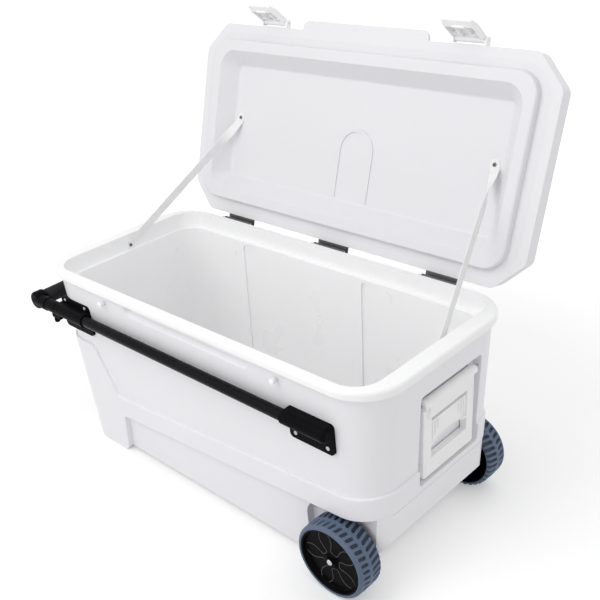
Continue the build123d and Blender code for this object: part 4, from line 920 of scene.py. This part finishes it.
def makeTapePiece(name, lidPoint, tubPoint, side, shape):
    # path = lid eyelet, straight run, tub eyelet, rounded by a running mean; across it a flat tape with
    # rounded edges, turned from the lid's plane to the wall's plane over the twist length; both ends rounded
    lidFace, tubFace = np.array(lidInside), np.array((-side, 0.0, 0.0))
    chord = tubPoint - lidPoint
    leaveLid = chord - lidFace * (chord @ lidFace)
    leaveLid = leaveLid / np.linalg.norm(leaveLid)
    reachTub = chord - tubFace * (chord @ tubFace)
    reachTub = reachTub / np.linalg.norm(reachTub)
    corners = [lidPoint - leaveLid * shape["half"], lidPoint + leaveLid * shape["half"] * 0.8,
               tubPoint - reachTub * shape["half"] * 0.8, tubPoint + reachTub * shape["half"]]
    path = []
    for start, end in zip(corners[:-1], corners[1:]):
        count = max(2, int(np.linalg.norm(end - start) / shape["step"]))
        path.append(start + (end - start) * np.linspace(0, 1, count, endpoint=False)[:, None])
    path = np.concatenate(path + [corners[-1][None]])
    kernel = np.ones(shape["smooth"]) / shape["smooth"]
    pad = shape["smooth"] // 2
    middle = np.stack([np.convolve(path[:, k], kernel, "valid") for k in range(3)], axis=1)
    path = np.concatenate([path[:pad], middle, path[-pad:]])
    travel = np.concatenate([[0], np.cumsum(np.linalg.norm(np.diff(path, axis=0), axis=1))])
    tangent = np.gradient(path, axis=0)
    tangent = tangent / np.linalg.norm(tangent, axis=1)[:, None]
    lidSide, tubSide = np.cross(leaveLid, lidFace), np.cross(reachTub, tubFace)
    if lidSide @ tubSide < 0:
        tubSide = -tubSide
    share = softStep(0.012, shape["twistLength"], travel)[:, None]
    width = lidSide * (1 - share) + tubSide * share
    width = width - tangent * (width * tangent).sum(axis=1)[:, None]
    width = width / np.linalg.norm(width, axis=1)[:, None]
    normal = np.cross(tangent, width)
    fromEnd = np.minimum(travel, travel[-1] - travel)
    rounded = np.sqrt(np.clip(1 - (1 - np.clip(fromEnd / shape["half"], 0, 1)) ** 2, 0.0006, 1))
    slim = 1 - (1 - shape["narrow"]) * softStep(shape["half"], shape["half"] * 3, fromEnd)
    half = shape["half"] * rounded * slim
    count = shape["flatPoints"]
    flat = np.linspace(-1, 1, count)
    bend = np.linspace(-math.pi / 2, math.pi / 2, 5)[1:-1]
    acrossFlat = np.concatenate([flat, np.ones(3), flat[::-1], -np.ones(3)])
    still = np.zeros(count)
    acrossEdge = np.concatenate([still, np.cos(bend), still, -np.cos(bend)]) * shape["edge"]
    lift = np.concatenate([still - 0.5, 0.5 * np.sin(bend), still + 0.5, -0.5 * np.sin(bend)])
    lift = lift * shape["thick"]
    core = np.maximum(half - shape["edge"], 0.0001)
    grid = (path[:, None] + width[:, None] * (core[:, None] * acrossFlat + acrossEdge)[..., None]
            + normal[:, None] * (lift * np.ones((len(path), 1)))[..., None])
    across = (core[:, None] * acrossFlat + shape["half"]) / (2 * shape["half"])
    along = travel[:, None] / travel[-1] + 0 * across
    uvs = np.stack([across, along], axis=-1)
    first, last = grid[0].mean(axis=0), grid[-1].mean(axis=0)
    grid = np.concatenate([np.repeat(first[None, None], grid.shape[1], axis=1), grid,
                           np.repeat(last[None, None], grid.shape[1], axis=1)])
    uvs = np.concatenate([uvs[:1], uvs, uvs[-1:]])
    piece = surfacePiece(name + "Tape", grid, False, True, "stayTape", None, uvs=uvs)
    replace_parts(piece, name)
    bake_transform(piece)


for name, side in (("lid_stay_left", -1), ("lid_stay_right", 1)):
    makeTapePiece(name, eyeletAt("stay_screws_lid", side, lidInside),
                  eyeletAt("stay_screws_tub", side, (-side, 0, 0)), side, tapeShape)
print("stage: lid stays")
